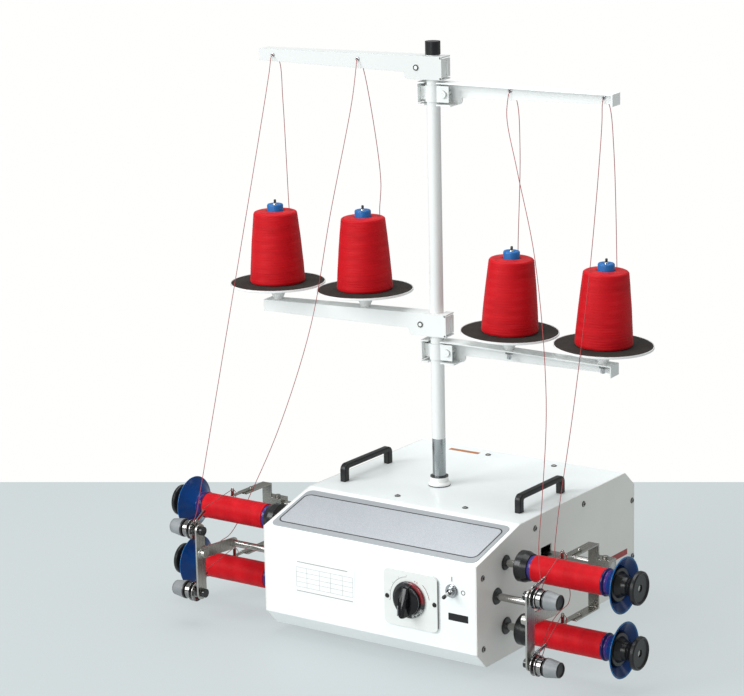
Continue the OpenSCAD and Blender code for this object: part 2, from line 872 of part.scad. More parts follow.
module mast_collar() {
    bore = mast_r + run_gap;
    color("white") at_mast(casing_h + collar_ring_t) rotate_extrude() polygon([
        [bore, 0], [mast_r + collar_base_t, 0], [mast_r + collar_base_t, collar_h * collar_base_share],
        [mast_r + collar_wall, collar_h * collar_neck_share], [mast_r + collar_wall, collar_h], [bore, collar_h]
    ]);
    color("black") at_mast(casing_h) collar_ring(mast_r + collar_base_t);
    color("black") at_mast(casing_h + collar_ring_t + collar_h) collar_ring(mast_r + collar_wall);
}

module mast_post() {
    color("silver") at_mast(sheet_t) {
        cylinder(r = mast_r, h = post_top - sheet_t);
        cylinder(r = mast_flange_r, h = mast_flange_h);
        cylinder(r = spigot_r, h = post_top + spigot_h - sheet_t);
    }
}

module mast_tube() {
    color("white") at_mast(post_top) difference() {
        cylinder(r = mast_r, h = mast_top - post_top);
        translate([0, 0, -cut]) cylinder(r = spigot_r + run_gap, h = mast_top - post_top + 2 * cut);
    }
}

module mast_cap() {
    color("black") at_mast(mast_top + cap_top_t - cap_h) difference() {
        cylinder(r = mast_r + cap_wall, h = cap_h);
        translate([0, 0, -cut]) cylinder(r = mast_r + run_gap, h = cap_h - cap_top_t + cut);
    }
}

// Arms: x runs out along the arm from the mast axis, z = 0 on top of the root
module arm_frame(dir, top) {
    at_mast(top) rotate([0, 0, dir]) children();
}

function sag_drop(x, sag) = (x - root_len) * tan(sag);

function eyelet_z(x, sag) = -sag_drop(x, sag) - tip_h / 2;

// Place on top of the arm flange, square to it
module station(x, sag) {
    translate([x, station_y, -sag_drop(x, sag)]) rotate([0, sag, 0]) children();
}

// Extrudes from the outer face of the web towards the open side
module from_web(t) {
    translate([0, web_y, 0]) rotate([90, 0, 0]) linear_extrude(t) children();
}

module arm_sheet(sag) {
    drop = sag_drop(arm_len, sag);
    tab_h = root_h - 2 * tab_inset;
    // web with the taller root
    from_web(arm_t) polygon(concat(
        [[-root_back, 0], [-root_back, -root_h]],
        [for (a = [-90 : 15 : 0])
            [root_len - root_corner * (1 - cos(a)), root_corner * (1 + sin(a)) - root_h]],
        [[root_len, -beam_h], [arm_len, -drop - tip_h], [arm_len, -drop], [root_len, 0]]
    ));
    // top flange
    from_web(arm_depth) polygon([
        [-root_back, 0], [-root_back, -arm_t], [root_len, -arm_t],
        [arm_len, -drop - arm_t], [arm_len, -drop], [root_len, 0]
    ]);
    // bottom flange of the root box
    from_web(arm_depth) polygon([
        [-root_back, -root_h], [-root_back, arm_t - root_h],
        [root_len - root_corner, arm_t - root_h], [root_len - root_corner, -root_h]
    ]);
    // flap across the tip
    from_web(arm_depth) polygon([
        [arm_len - arm_t, -drop], [arm_len - arm_t, -drop - tip_h], [arm_len, -drop - tip_h], [arm_len, -drop]
    ]);
    // tab for the strap
    translate([-root_back, web_y - arm_depth, -root_h + tab_inset]) cube([arm_t, arm_depth, tab_h]);
}

module arm(sag, carries_trays) {
    notch_r = mast_r + run_gap;
    slot_h = root_h - 2 * slot_inset;
    difference() {
        arm_sheet(sag);
        // notches round the mast, open to the clamp side
        translate([0, 0, -root_h - cut]) {
            cylinder(r = notch_r, h = root_h + 2 * cut);
            translate([-notch_r, -arm_depth, 0]) cube([2 * notch_r, arm_depth, root_h + 2 * cut]);
        }
        translate([-root_back - cut, -strap_t - seat_gap, slot_inset - root_h])
            cube([arm_t + 2 * cut, strap_t + 2 * seat_gap, slot_h]);
        for (z = [tab_inset - relief_r, root_h - tab_inset + relief_r])
            rod_along_y(relief_r, arm_t - root_back, web_y - arm_t - cut, web_y + cut, -z);
        rod_along_y(insert_r + run_gap, clamp_screw_x, web_y - arm_t - cut, web_y + cut, -root_h / 2);
        if (carries_trays) {
            for (x = [inner_station, outer_station]) station(x, sag)
                translate([0, 0, -arm_t - cut]) cylinder(r = pin_r + run_gap, h = arm_t + 2 * cut);
        } else {
            for (x = [eyelet_in, eyelet_out])
                rod_along_y(eyelet_neck_r + run_gap, x, web_y - arm_t - cut, web_y + cut, eyelet_z(x, sag));
        }
    }
}

// Strap round the mast, its screw, and the insert nut in the web
module clamp() {
    in_r = mast_r + 2 * run_gap;
    out_r = in_r + strap_t;
    flat_from = sqrt(in_r * in_r - strap_flat_y * strap_flat_y) + strap_t / 2;
    head_y = -strap_flat_y - strap_t - run_gap;
    mid = -root_h / 2;
    strap_h = root_h - 2 * strap_inset;
    leg_h = root_h - 2 * strap_leg_inset;
    color("white") difference() {
        translate([0, 0, mid - strap_h / 2]) linear_extrude(strap_h) {
            difference() {
                circle(out_r);
                circle(in_r);
                translate([-out_r - cut, 0]) square([2 * (out_r + cut), out_r + cut]);
                translate([0, -strap_flat_y]) square([out_r + cut, out_r + cut]);
            }
            translate([flat_from, -strap_flat_y - strap_t]) square([strap_end - flat_from, strap_t]);
        }
        rod_along_y(clamp_screw_r + run_gap, clamp_screw_x, head_y - cut, cut - strap_flat_y, mid);
    }
    // leg that hooks through the tab slot
    color("white") translate([-root_back - strap_t, -strap_t, mid - leg_h / 2])
        cube([root_back + strap_t / 2 - in_r, strap_t, leg_h]);
    color("silver") {
        rod_along_y(clamp_head_r, clamp_screw_x, head_y - clamp_head_h, head_y, mid);
        rod_along_y(clamp_screw_r, clamp_screw_x, head_y, web_y, mid);
        difference() {
            union() {
                rod_along_y(insert_r, clamp_screw_x, web_y - arm_t, web_y, mid);
                rod_along_y(insert_flange_r, clamp_screw_x, web_y, web_y + insert_flange_t, mid);
            }
            rod_along_y(clamp_screw_r + run_gap, clamp_screw_x, web_y - arm_t - cut, web_y + cut, mid);
        }
    }
}

// Thread eyelets, ringed on both faces of the web
module eyelets(sag) {
    inner = web_y - arm_t;
    color("silver") for (x = [eyelet_in, eyelet_out]) difference() {
        union() {
            rod_along_y(eyelet_r, x, web_y, web_y + eyelet_t, eyelet_z(x, sag));
            rod_along_y(eyelet_r, x, inner - eyelet_t, inner, eyelet_z(x, sag));
            rod_along_y(eyelet_neck_r, x, inner - eyelet_t, web_y + eyelet_t, eyelet_z(x, sag));
        }
        rod_along_y(eyelet_bore_r, x, inner - eyelet_t - cut, web_y + eyelet_t + cut, eyelet_z(x, sag));
    }
}

// Trays and cones, drawn at a station of their arm
module tray() {
    bore = pin_r + run_gap;
    floor_z = cone_seat - pad_t;
    under = tray_h - tray_rim_h;
    color("white") rotate_extrude() polygon([
        [bore, 0], [boss_foot_r, 0], [boss_mid_r, boss_mid_h], [boss_top_r, under - tray_sheet_t],
        [tray_r - tray_lip_t, under], [tray_r, under + tray_bevel], [tray_r, tray_h],
        [tray_r - tray_lip_t, tray_h], [tray_r - tray_lip_t, floor_z], [bore, floor_z]
    ]);
}

module pad() {
    color("dimgray") translate([0, 0, cone_seat - pad_t]) difference() {
        cylinder(r = tray_r - tray_lip_t - seat_gap, h = pad_t);
        translate([0, 0, -cut]) cylinder(r = pin_r + run_gap, h = pad_t + 2 * cut);
    }
}

module cone_post() {
    tube_h = cone_h + tube_above_cone;
    color("silver") {
        translate([0, 0, -arm_t - pin_below]) cylinder(r = pin_r, h = post_tip - pin_tip_h + arm_t + pin_below);
        translate([0, 0, post_tip - pin_tip_h]) cylinder(r = pin_tip_r, h = pin_tip_h);
        translate([0, 0, -arm_t - nut_h]) cylinder(r = nut_r, h = nut_h, $fn = 6);
    }
    color("dodgerblue") translate([0, 0, cone_seat]) rotate_extrude() polygon([
        [cone_tube_r - cone_tube_wall, 0], [cone_tube_r, 0], [cone_tube_r, tube_h - edge],
        [cone_tube_r - edge, tube_h], [pin_r + run_gap, tube_h], [pin_r + run_gap, tube_h - cone_tube_top_t],
        [cone_tube_r - cone_tube_wall, tube_h - cone_tube_top_t]
    ]);
}

module cone() {
    base = cone_base_d / 2;
    top = cone_top_d / 2;
    shoulder = cone_h - cone_crown;
    color("crimson") translate([0, 0, cone_seat]) rotate_extrude() polygon(concat(
        [[cone_tube_r + run_gap, 0], [base - edge, 0], [base, cone_edge_r]],
        [for (a = [0 : 15 : 90])
            [top - cone_edge_r * (1 - cos(a)), shoulder - cone_edge_r * (1 - sin(a))]],
        [[cone_tube_r + run_gap, cone_h]]
    ));
}

module at_stations(dir, top, sag) {
    arm_frame(dir, top) for (x = [inner_station, outer_station]) station(x, sag) children();
}

module at_lower_left() {
    at_stations(lower_left_dir, lower_left_top, lower_left_sag) children();
}

module at_lower_right() {
    at_stations(lower_right_dir, lower_right_top, lower_right_sag) children();
}

module lower_arm_left() {
    color("white") arm_frame(lower_left_dir, lower_left_top) arm(lower_left_sag, true);
}

module lower_arm_right() {
    color("white") arm_frame(lower_right_dir, lower_right_top) arm(lower_right_sag, true);
}

module upper_arm_left() {
    color("white") arm_frame(upper_left_dir, upper_left_top) arm(upper_left_sag, false);
}

module upper_arm_right() {
    color("white") arm_frame(upper_right_dir, upper_right_top) arm(upper_right_sag, false);
}

module lower_clamp_left() {
    arm_frame(lower_left_dir, lower_left_top) clamp();
}

module lower_clamp_right() {
    arm_frame(lower_right_dir, lower_right_top) clamp();
}

module upper_clamp_left() {
    arm_frame(upper_left_dir, upper_left_top) {
        clamp();
        eyelets(upper_left_sag);
    }
}

module upper_clamp_right() {
    arm_frame(upper_right_dir, upper_right_top) {
        clamp();
        eyelets(upper_right_sag);
    }
}

module trays_left() {
    at_lower_left() tray();
}

module trays_right() {
    at_lower_right() tray();
}

module pads_left() {
    at_lower_left() pad();
}

module pads_right() {
    at_lower_right() pad();
}

module cone_posts_left() {
    at_lower_left() cone_post();
}

module cone_posts_right() {
    at_lower_right() cone_post();
}

module cones_left() {
    at_lower_left() cone();
}

module cones_right() {
    at_lower_right() cone();
}

// Spindles; each pulley is [radius, start, width]
module spindle_shaft(z, pulleys) {
    end = cap_face - shaft_recess;
    color("silver") at_casing() {
        rod_x(shaft_r, -end, end, shaft_y, z);
        for (p = pulleys) rod_x(p[0], p[1], p[1] + p[2], shaft_y, z);
    }
}

module upper_shaft() {
    spindle_shaft(upper_z, [[shaft_pulley_r, upper_belt_x, pulley_w]]);
}

module lower_shaft() {
    spindle_shaft(lower_z, [
        [shaft_pulley_r, upper_belt_x, pulley_w], [driven_pulley_r, motor_belt_x, pulley_w],
        [cam_drive_r, cam_belt_x, cam_belt_w]
    ]);
}

// Hub against the casing side of the spool tube, and the cap that closes its foot
module spool_holders(z) {
    bore = shaft_r + run_gap;
    plug = tube_bore_r - run_gap;
    hub_start = tube_start - hub_l;
    shoulder_r = tube_r + hub_shoulder;
    face_u = cap_start + cap_len * cap_shares[len(cap_shares) - 1][0];
    color("black") at_casing() both_sides() {
        turned_x([
            [hub_start, bore], [hub_start, hub_r - edge], [hub_start + edge, hub_r],
            [hub_start + hub_rim_l, hub_r], [tube_start, shoulder_r], [tube_start, plug],
            [tube_start + plug_l, plug], [tube_start + plug_l, bore]
        ], shaft_y, z);
        turned_x(concat(
            [[cap_start - plug_l, bore], [cap_start - plug_l, plug],
                [cap_start + cap_len * cap_shares[0][0], plug]],
            [for (s = cap_shares) [cap_start + cap_len * s[0], cap_flange_r * s[1]]],
            [[face_u, bore]]
        ), shaft_y, z);
    }
}

module upper_spool_holders() {
    spool_holders(upper_z);
}

module lower_spool_holders() {
    spool_holders(lower_z);
}

// Tube with its flared, dished foot
module spool_tubes(z) {
    dish_start = flare_start + dish_wall;
    color("midnightblue") at_casing() both_sides() turned_x([
        [tube_start, tube_bore_r], [tube_start, tube_r], [flare_start, tube_r],
        [flare_start + flare_l, spool_foot_r], [foot_face, spool_foot_r - foot_rim_bevel],
        [foot_face, spool_foot_r - foot_rim_t], [dish_start + foot_rim_t, tube_r + dish_root],
        [dish_start, tube_r + dish_root], [dish_start, tube_bore_r]
    ], shaft_y, z);
}

module upper_spool_tubes() {
    spool_tubes(upper_z);
}

module lower_spool_tubes() {
    spool_tubes(lower_z);
}

module packages(z) {
    bore = tube_r + run_gap;
    color("crimson") at_casing() both_sides() turned_x([
        [package_x, bore], [package_x, package_r - package_edge], [package_x + edge, package_r],
        [package_end - edge, package_r], [package_end, package_r - package_edge], [package_end, bore]
    ], shaft_y, z);
}

module upper_packages() {
    packages(upper_z);
}

module lower_packages() {
    packages(lower_z);
}

// Traverse, drawn at its rest place
module at_traverse() {
    at_casing() translate([traverse_at, 0, 0]) children();
}

module at_brackets() {
    at_traverse() for (x = [-traverse_half, traverse_half]) translate([x, 0, 0]) children();
}

module traverse_rod() {
    pin_low = cam_z + cam_r + belt_gap;
    hub_end = strip_w / 2 + seat_gap + hub_len;
    color("silver") at_traverse() {
        rod_x(rod_r, -traverse_half - strip_w / 2, traverse_half + hub_end, rod_y, rod_z);
        // follower over the cam drum
        translate([cam_x - follower_w / 2, rod_y, rod_z - rod_r])
            cube([follower_w, cam_y - rod_y + follower_pin_r, 2 * rod_r]);
        translate([cam_x, cam_y, pin_low]) cylinder(r = follower_pin_r, h = rod_z - pin_low);
    }
}

module traverse_bracket() {
    back = rod_y - strip_behind;
    hub_from = strip_w / 2 + seat_gap;
    // strip bent to a C, open to the front
    translate([-strip_w / 2, back - strip_t, strip_bottom]) cube([strip_w, strip_t, strip_top - strip_bottom]);
    for (z = [strip_bottom, strip_top - strip_t]) translate([-strip_w / 2, back - strip_reach, z])
        cube([strip_w, strip_reach, strip_t]);
    // clamp hub on the rod, with the foot that carries the strip
    difference() {
        union() {
            translate([hub_from, rod_y - hub_block / 2, rod_z - hub_block / 2])
                cube([hub_len, hub_block, hub_block]);
            translate([-strip_w / 2, back, rod_z - hub_block / 2])
                cube([strip_w + 2 * seat_gap, hub_block / 2 + strip_behind, hub_block]);
        }
        rod_x(rod_r + run_gap, -strip_w, hub_from + hub_len + cut, rod_y, rod_z);
    }
    translate([hub_from + hub_len / 3, rod_y, rod_z + hub_block / 2])
        cylinder(r = hub_screw_r, h = hub_screw_h);
}

module traverse_brackets() {
    color("silver") at_brackets() traverse_bracket();
}

// Thin finger screwed on a leg, bent up to an eye beside the package
module traverse_finger(leg_z, rise) {
    root_y = rod_y - finger_root;
    translate([-finger_w / 2, finger_y, leg_z]) cube([finger_w, root_y - finger_y, finger_t]);
    translate([0, root_y, leg_z]) cylinder(d = finger_w, h = finger_t);
    translate([0, root_y, leg_z + finger_t]) cylinder(r = finger_screw_r, h = finger_t);
    translate([-finger_tip_r, finger_y, leg_z]) cube([2 * finger_tip_r, finger_t, rise]);
    rod_along_y(finger_tip_r, 0, finger_y, finger_y + finger_t, leg_z + rise);
}

module finger_with_eye(leg_z, rise) {
    difference() {
        traverse_finger(leg_z, rise);
        rod_along_y(finger_eye_r, 0, finger_y - cut, finger_y + finger_t + cut, leg_z + rise);
    }
}

module traverse_fingers() {
    color("silver") at_brackets() {
        finger_with_eye(strip_top, finger_upper_rise);
        finger_with_eye(strip_bottom + strip_t, finger_lower_rise);
    }
}

// Tensioners
module tension_rod() {
    end = plate_x - plate_t;
    color("silver") at_casing() rod_x(tension_rod_r, -end, end, tension_rod_y, tension_rod_z);
}

module tension_bracket() {
    y = -tension_y;
    r = plate_w / 2;
    inner = plate_x - plate_t;
    link_x = inner - plate_t;
    link_len = norm([tension_rod_y - y, link_z - tension_rod_z]);
    // upright plate for the two studs
    difference() {
        translate([inner, y, tension_lower_z]) rotate([90, 0, 90]) linear_extrude(plate_t) {
            translate([-r, 0]) square([plate_w, tension_upper_z - tension_lower_z]);
            for (z = [0, tension_upper_z - tension_lower_z]) translate([0, z]) circle(r);
        }
        for (z = [tension_lower_z, tension_upper_z]) rod_x(stud_r + run_gap, inner - cut, plate_x + cut, y, z);
    }
    // link from the rod end forward to the plate
    difference() {
        translate([link_x, y, link_z]) rotate([atan2(tension_rod_z - link_z, tension_rod_y - y), 0, 0])
            rotate([90, 0, 90]) linear_extrude(plate_t) {
                translate([0, -link_h / 2]) square([link_len, link_h]);
                for (s = [0, link_len]) translate([s, 0]) circle(link_h / 2);
            }
        rod_x(tension_rod_r + run_gap, link_x - cut, inner + cut, tension_rod_y, tension_rod_z);
    }
    rod_x(back_nut_r, link_x - back_nut_l, link_x, y, link_z);
}

module tension_brackets() {
    color("silver") at_casing() both_sides() tension_bracket();
}

module ring_x(r, from, to, z) {
    bore = stud_r + run_gap;
    turned_x([[from, bore], [from, r], [to, r], [to, bore]], -tension_y, z);
}

// Strip that leads the thread back over the package, its root held on the stud
module guide_strip(z) {
    root = plate_x + washer_l;
    difference() {
        union() {
            rod_x(back_nut_r, root, root + guide_t, -tension_y, z);
            translate([root, -tension_y - guide_w / 2, z]) cube([guide_t, guide_w, guide_rise]);
            hull() {
                translate([root, -tension_y, z + guide_rise]) rotate([0, 90, 0])
                    cylinder(d = guide_w, h = guide_t, $fn = hull_fn);
                translate([root + guide_lean, 0, z + guide_tip_rise]) rotate([0, 90, 0])
                    cylinder(d = guide_w, h = guide_t, $fn = hull_fn);
            }
        }
        rod_x(stud_r + run_gap, root - cut, root + guide_t + cut, -tension_y, z);
    }
}

module tensioner(z) {
    y = -tension_y;
    bore = stud_r + run_gap;
    inner = plate_x - plate_t;
    far = nip + thread_gap;
    color("silver") rod_x(stud_r, inner - back_nut_l, stud_end, y, z);
    color("black") {
        ring_x(back_nut_r, inner - back_nut_l, inner, z);
        ring_x(back_nut_r, plate_x, plate_x + washer_l, z);
    }
    color("silver") {
        guide_strip(z);
        ring_x(back_nut_r, plate_x + washer_l + guide_t, nip - disc_t, z);
        turned_x([
            [nip - disc_t, bore], [nip - disc_t, disc_flat_r], [nip - disc_t - disc_dish, disc_r],
            [nip - disc_dish, disc_r], [nip, disc_flat_r], [nip, bore]
        ], y, z);
        turned_x([
            [far, bore], [far, disc_flat_r], [far + disc_dish, disc_r], [far + disc_dish + disc_t, disc_r],
            [far + disc_t, disc_flat_r], [far + disc_t, bore]
        ], y, z);
        ring_x(disc_flat_r - edge, far + disc_t, cup_from, z);
        ring_x(cup_r, cup_from, cup_from + cup_l, z);
    }
}

module tension_discs() {
    at_casing() both_sides() for (z = [tension_lower_z, tension_upper_z]) tensioner(z);
}

module tension_knob(z) {
    bore = stud_r + run_gap;
    end = knob_from + tension_knob_l;
    r = tension_knob_d / 2;
    color("slategray") at_casing() turned_x([
        [knob_from, bore], [knob_from, r - knob_edge], [knob_from + knob_edge, r], [knob_from + knob_band, r],
        [end - edge, knob_tip_r], [end, knob_tip_r - edge], [end, knob_end_r], [end - edge, knob_end_r],
        [end - edge, 0], [stud_end + seat_gap, 0], [stud_end + seat_gap, bore]
    ], -tension_y, z);
}

module tension_knob_upper_right() {
    tension_knob(tension_upper_z);
}

module tension_knob_upper_left() {
    mirror([1, 0, 0]) tension_knob(tension_upper_z);
}

module tension_knob_lower_right() {
    tension_knob(tension_lower_z);
}

module tension_knob_lower_left() {
    mirror([1, 0, 0]) tension_knob(tension_lower_z);
}

// Thread swept along its route as one tube
module thread(points) {
    n = len(points);
    m = thread_sides;
    aside = [1, 0.3, 0.05];
    rings = [for (i = [0 : n - 1]) let (
        t = unit(points[min(i + 1, n - 1)] - points[max(i - 1, 0)]),
        u = unit(cross(t, aside)),
        w = cross(t, u)
    ) [for (k = [0 : m - 1]) points[i] + thread_r * (u * cos(360 * k / m) + w * sin(360 * k / m))]];
    sides = [for (i = [0 : n - 2], k = [0 : m - 1]) let (
        a = i * m + k,
        b = i * m + (k + 1) % m
    ) each [[a, b, b + m], [a, b + m, a + m]]];
    start = [for (k = [1 : m - 2]) [0, k + 1, k]];
    stop = [for (k = [1 : m - 2]) [(n - 1) * m, (n - 1) * m + k, (n - 1) * m + k + 1]];
    polyhedron(points = [for (ring = rings) each ring], faces = concat(sides, start, stop), convexity = 4);
}

// From the nip round the stud, over the guide tip, through the finger eye to the package
function take_up(side, stud_z, eye_z, axis_z) = let (
    x = side * (nip + thread_gap / 2),
    eye_x = traverse_at + side * traverse_half,
    lay_x = eye_x + lay_off,
    lay_y = shaft_y + package_r + thread_r + thread_clear
) [
    [x, -tension_y - wrap_r, stud_z],
    [x, -tension_y, stud_z - wrap_r],
    [x, wrap_r - tension_y, stud_z],
    [x, 0, stud_z + guide_tip_rise + guide_w / 2 + thread_r + thread_clear],
    [eye_x, finger_y - eye_lead, eye_z],
    [eye_x, finger_y + finger_t + eye_lead, eye_z],
    [lay_x, finger_y + finger_t + eye_lead, (eye_z + axis_z) / 2 + finger_w],
    [lay_x, lay_y, axis_z]
];

module supply_threads_left() {
    color("crimson") at_casing() {
        thread(supply_left_outer);
        thread(supply_left_inner);
    }
}

module supply_threads_right() {
    color("crimson") at_casing() {
        thread(supply_right_inner);
        thread(supply_right_outer);
    }
}

module running_threads() {
    upper_eye = strip_top + finger_upper_rise;
    lower_eye = strip_bottom + strip_t + finger_lower_rise;
    color("crimson") at_casing() {
        thread(concat(run_left_outer, take_up(-1, tension_upper_z, upper_eye, upper_z)));
        thread(concat(run_left_inner, take_up(-1, tension_lower_z, lower_eye, lower_z)));
        thread(concat(run_right_inner, take_up(1, tension_upper_z, upper_eye, upper_z)));
        thread(concat(run_right_outer, take_up(1, tension_lower_z, lower_eye, lower_z)));
    }
}

base_pan();
casing_cover();
side_panel_left();
side_panel_right();
nameplate();
dial_plate();
toggle_switch();
toggle_lever();
speed_knob();
carry_handles();
rubber_feet();
casing_screws();
power_inlet();
control_board();
motor_body();
motor_rotor();
drive_belts();
bearings();
cam_drum();
mast_collar();
mast_post();
mast_tube();
mast_cap();
upper_shaft();
upper_spool_holders();
upper_spool_tubes();
upper_packages();
lower_shaft();
lower_spool_holders();
lower_spool_tubes();
lower_packages();
traverse_rod();
traverse_brackets();
traverse_fingers();
tension_rod();
tension_brackets();
tension_discs();
tension_knob_upper_left();
tension_knob_upper_right();
tension_knob_lower_left();
tension_knob_lower_right();
lower_arm_left();
lower_clamp_left();
trays_left();
pads_left();
cone_posts_left();
cones_left();
upper_arm_left();
upper_clamp_left();
supply_threads_left();
lower_arm_right();
lower_clamp_right();
trays_right();
pads_right();
cone_posts_right();
cones_right();
upper_arm_right();
upper_clamp_right();
supply_threads_right();
running_threads();
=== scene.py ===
import random
from math import atan2, cos, degrees, hypot, pi, radians, sin, sqrt, tan

import bmesh
import bpy
from mathutils import Matrix, Vector, noise


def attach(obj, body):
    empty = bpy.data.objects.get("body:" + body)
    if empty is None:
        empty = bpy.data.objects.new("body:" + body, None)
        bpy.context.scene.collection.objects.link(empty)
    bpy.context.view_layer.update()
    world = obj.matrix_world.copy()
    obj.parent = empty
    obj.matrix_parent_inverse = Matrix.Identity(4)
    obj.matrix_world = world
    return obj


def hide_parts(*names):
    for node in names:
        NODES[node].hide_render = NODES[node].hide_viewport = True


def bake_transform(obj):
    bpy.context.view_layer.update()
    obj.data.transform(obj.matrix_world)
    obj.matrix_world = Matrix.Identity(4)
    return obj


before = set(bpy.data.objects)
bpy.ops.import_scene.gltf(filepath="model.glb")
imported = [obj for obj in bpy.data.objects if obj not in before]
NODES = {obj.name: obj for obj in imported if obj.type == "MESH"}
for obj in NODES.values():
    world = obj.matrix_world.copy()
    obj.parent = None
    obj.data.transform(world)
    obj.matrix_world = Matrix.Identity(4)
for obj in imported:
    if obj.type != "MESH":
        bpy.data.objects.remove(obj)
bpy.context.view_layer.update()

# Shapes are in mm in the casing's frame (front face y = 0, casing bottom z = 0).
# Materials, lights and bmesh operators use the metres of the part frame.
MM = 0.001
TURN = 2 * pi
FRONT_Y, FOOT = -0.1531, 0.01  # the casing's origin in the part frame, metres
CASING_W, CASING_D, CASING_H = 280, 334, 140
SLOPE_Z, SLOPE_D = 116.4, 87.5  # height of the slope's front edge, and its depth
MAST_X, MAST_Y = -16, 166
SPINDLE_Y = 57.5
SPINDLE_Z = {"upper": 105.5, "lower": 34.5}
SIDES = {"left": -1, "right": 1}
DIAL_X, DIAL_Z = 56, 66.5

# Camera fitted to the photo: pixels, degrees, and mm for the sensor, target and distance.
PHOTO_W, PHOTO_H, FOCAL_PX = 744, 696, 2635.13
AZIMUTH, ELEVATION, ROLL = 35.3, 13.63, -1.24
SENSOR, TARGET, DISTANCE = 36, (-58.51, 100, 307.45), 2903.98
HORIZON_PX = 482  # the row of the photo where the floor ends


def C(x, y, z):
    """Casing millimetres to the part frame's metres."""
    return Vector((x * MM, y * MM + FRONT_Y, z * MM + FOOT))


def to(x, y, z, turn=0, axis="Z"):
    """Matrix of a move to a point of the casing and a turn in degrees."""
    return Matrix.Translation(C(x, y, z)) @ Matrix.Rotation(radians(turn), 4, axis)


def by(x, y, z, turn=0, axis="Z"):
    """Matrix of a move in mm and a turn in degrees."""
    return Matrix.Translation(Vector((x, y, z)) * MM) @ Matrix.Rotation(radians(turn), 4, axis)


def circle(n):
    return [TURN * i / n for i in range(n)]


def new_object(name, data):
    o = bpy.data.objects.new(name, data)
    bpy.context.scene.collection.objects.link(o)
    return o


# Camera
def make_camera():
    data = bpy.data.cameras.new("camera")
    data.sensor_width = SENSOR
    data.lens = FOCAL_PX / PHOTO_W * SENSOR
    data.clip_start, data.clip_end = 0.05, 60
    cam = new_object("camera", data)
    m = (to(*TARGET, AZIMUTH) @ by(0, 0, 0, 90 - ELEVATION, "X") @ by(0, 0, 0, ROLL)
         @ by(0, 0, DISTANCE))
    cam.matrix_world = m
    bpy.context.scene.camera = cam
    return m


CAMERA = make_camera()


# Node helpers
def feed(n, inputs):
    """Links each input of a node to a socket, or sets it to a number, vector or colour."""
    for k, v in inputs.items():
        if isinstance(v, bpy.types.NodeSocket):
            n.id_data.links.new(v, n.inputs[k])
        else:
            n.inputs[k].default_value = v


class Mat:
    """A small builder for procedural materials in object coordinates (metres)."""

    def __init__(self, name):
        self.m = bpy.data.materials.new(name)
        self.m.use_nodes = True
        self.nodes = self.m.node_tree.nodes
        self.b = self.nodes["Principled BSDF"]
        self.where = self.node("TexCoord", "Object", {})

    def node(self, kind, out, inputs, **props):
        """One output of a new node."""
        n = self.nodes.new("ShaderNode" + kind)
        for k, v in props.items():
            setattr(n, k, v)
        feed(n, inputs)
        return n.outputs[out]

    def noise(self, scale, detail=2, rough=0.5, stretch=(1, 1, 1)):
        at = self.node("Mapping", "Vector", {"Vector": self.where, "Scale": stretch})
        return self.node("TexNoise", "Fac", {"Vector": at, "Scale": scale, "Detail": detail,
                                             "Roughness": rough})

    def fine(self, scale):
        return self.noise(scale, 3, 0.6)

    def cloud(self, scale):
        return self.noise(scale, 4, 0.6)

    def cells(self, scale):
        return self.node("TexVoronoi", "Distance", {"Vector": self.where, "Scale": scale})

    def math(self, op, a, b=0):
        return self.node("Math", 0, {0: a, 1: b}, operation=op)

    def add(self, a, b):
        return self.math("ADD", a, b)

    def sub(self, a, b):
        return self.math("SUBTRACT", a, b)

    def mul(self, a, b):
        return self.math("MULTIPLY", a, b)

    def remap(self, v, a, b, lo, hi):
        """v from a..b to lo..hi, clamped."""
        return self.node("MapRange", "Result", {"Value": v, "From Min": a, "From Max": b,
                                                "To Min": lo, "To Max": hi}, clamp=True)

    def spread(self, v, lo, hi):
        """The usual range of a noise to lo..hi."""
        return self.remap(v, 0.3, 0.7, lo, hi)

    def mix(self, fac, a, b):
        a, b = (c if isinstance(c, bpy.types.NodeSocket) else (*c, 1) for c in (a, b))
        return self.node("Mix", 2, {0: fac, 6: a, 7: b}, data_type="RGBA")

    def over(self, base, colour, v, a=0.3, b=0.7, share=1):
        """The colour mixed over the base, by a share that grows as v goes from a to b."""
        return self.mix(self.remap(v, a, b, 0, share), base, colour)

    def stepped(self, v, zones, soft):
        """Colour that changes with v; zones are (upper limit, colour), soft is half a step."""
        col = zones[0][1]
        for (at, _), (_, after) in zip(zones, zones[1:]):
            col = self.over(col, after, v, at - soft, at + soft)
        return col

    def xyz(self):
        return tuple(self.node("SeparateXYZ", 0, {0: self.where}).node.outputs)

    def soft_edge(self, radius):
        return self.node("Bevel", "Normal", {"Radius": radius}, samples=4)

    def rim(self, base, soft, share, colour):
        """A painted highlight: the colour on sharp corners, where the bevelled normal leaves the true
        one.
        """
        true = self.node("NewGeometry", "Normal", {})
        dot = self.node("VectorMath", "Value", {0: soft, 1: true}, operation="DOT_PRODUCT")
        return self.over(base, colour, dot, 0.995, 0.9, share)

    def bump(self, height, strength, distance=0.0001, normal=None):
        inputs = {"Height": height, "Strength": strength, "Distance": distance}
        if normal is not None:
            inputs["Normal"] = normal
        return self.node("Bump", "Normal", inputs)

    def done(self, color, rough, normal=None, metallic=0, specular=0.5, coat=0,
             coat_rough=0.1, sheen=0, sheen_rough=0.5, aniso=0):
        inputs = {"Base Color": color, "Roughness": rough, "Metallic": metallic,
                  "Specular IOR Level": specular, "Coat Weight": coat,
                  "Coat Roughness": coat_rough, "Sheen Weight": sheen,
                  "Sheen Roughness": sheen_rough, "Anisotropic": aniso}
        if normal is not None:
            inputs["Normal"] = normal
        feed(self.b, inputs)
        return self.m

    def moulded(self, base, fine, rough, grain, edge=0, **levels):
        """A surface whose gloss and bump both come from one fine noise."""
        soft = self.soft_edge(edge) if edge else None
        return self.done(base, self.spread(fine, *rough), self.bump(fine, grain, normal=soft),
                         **levels)


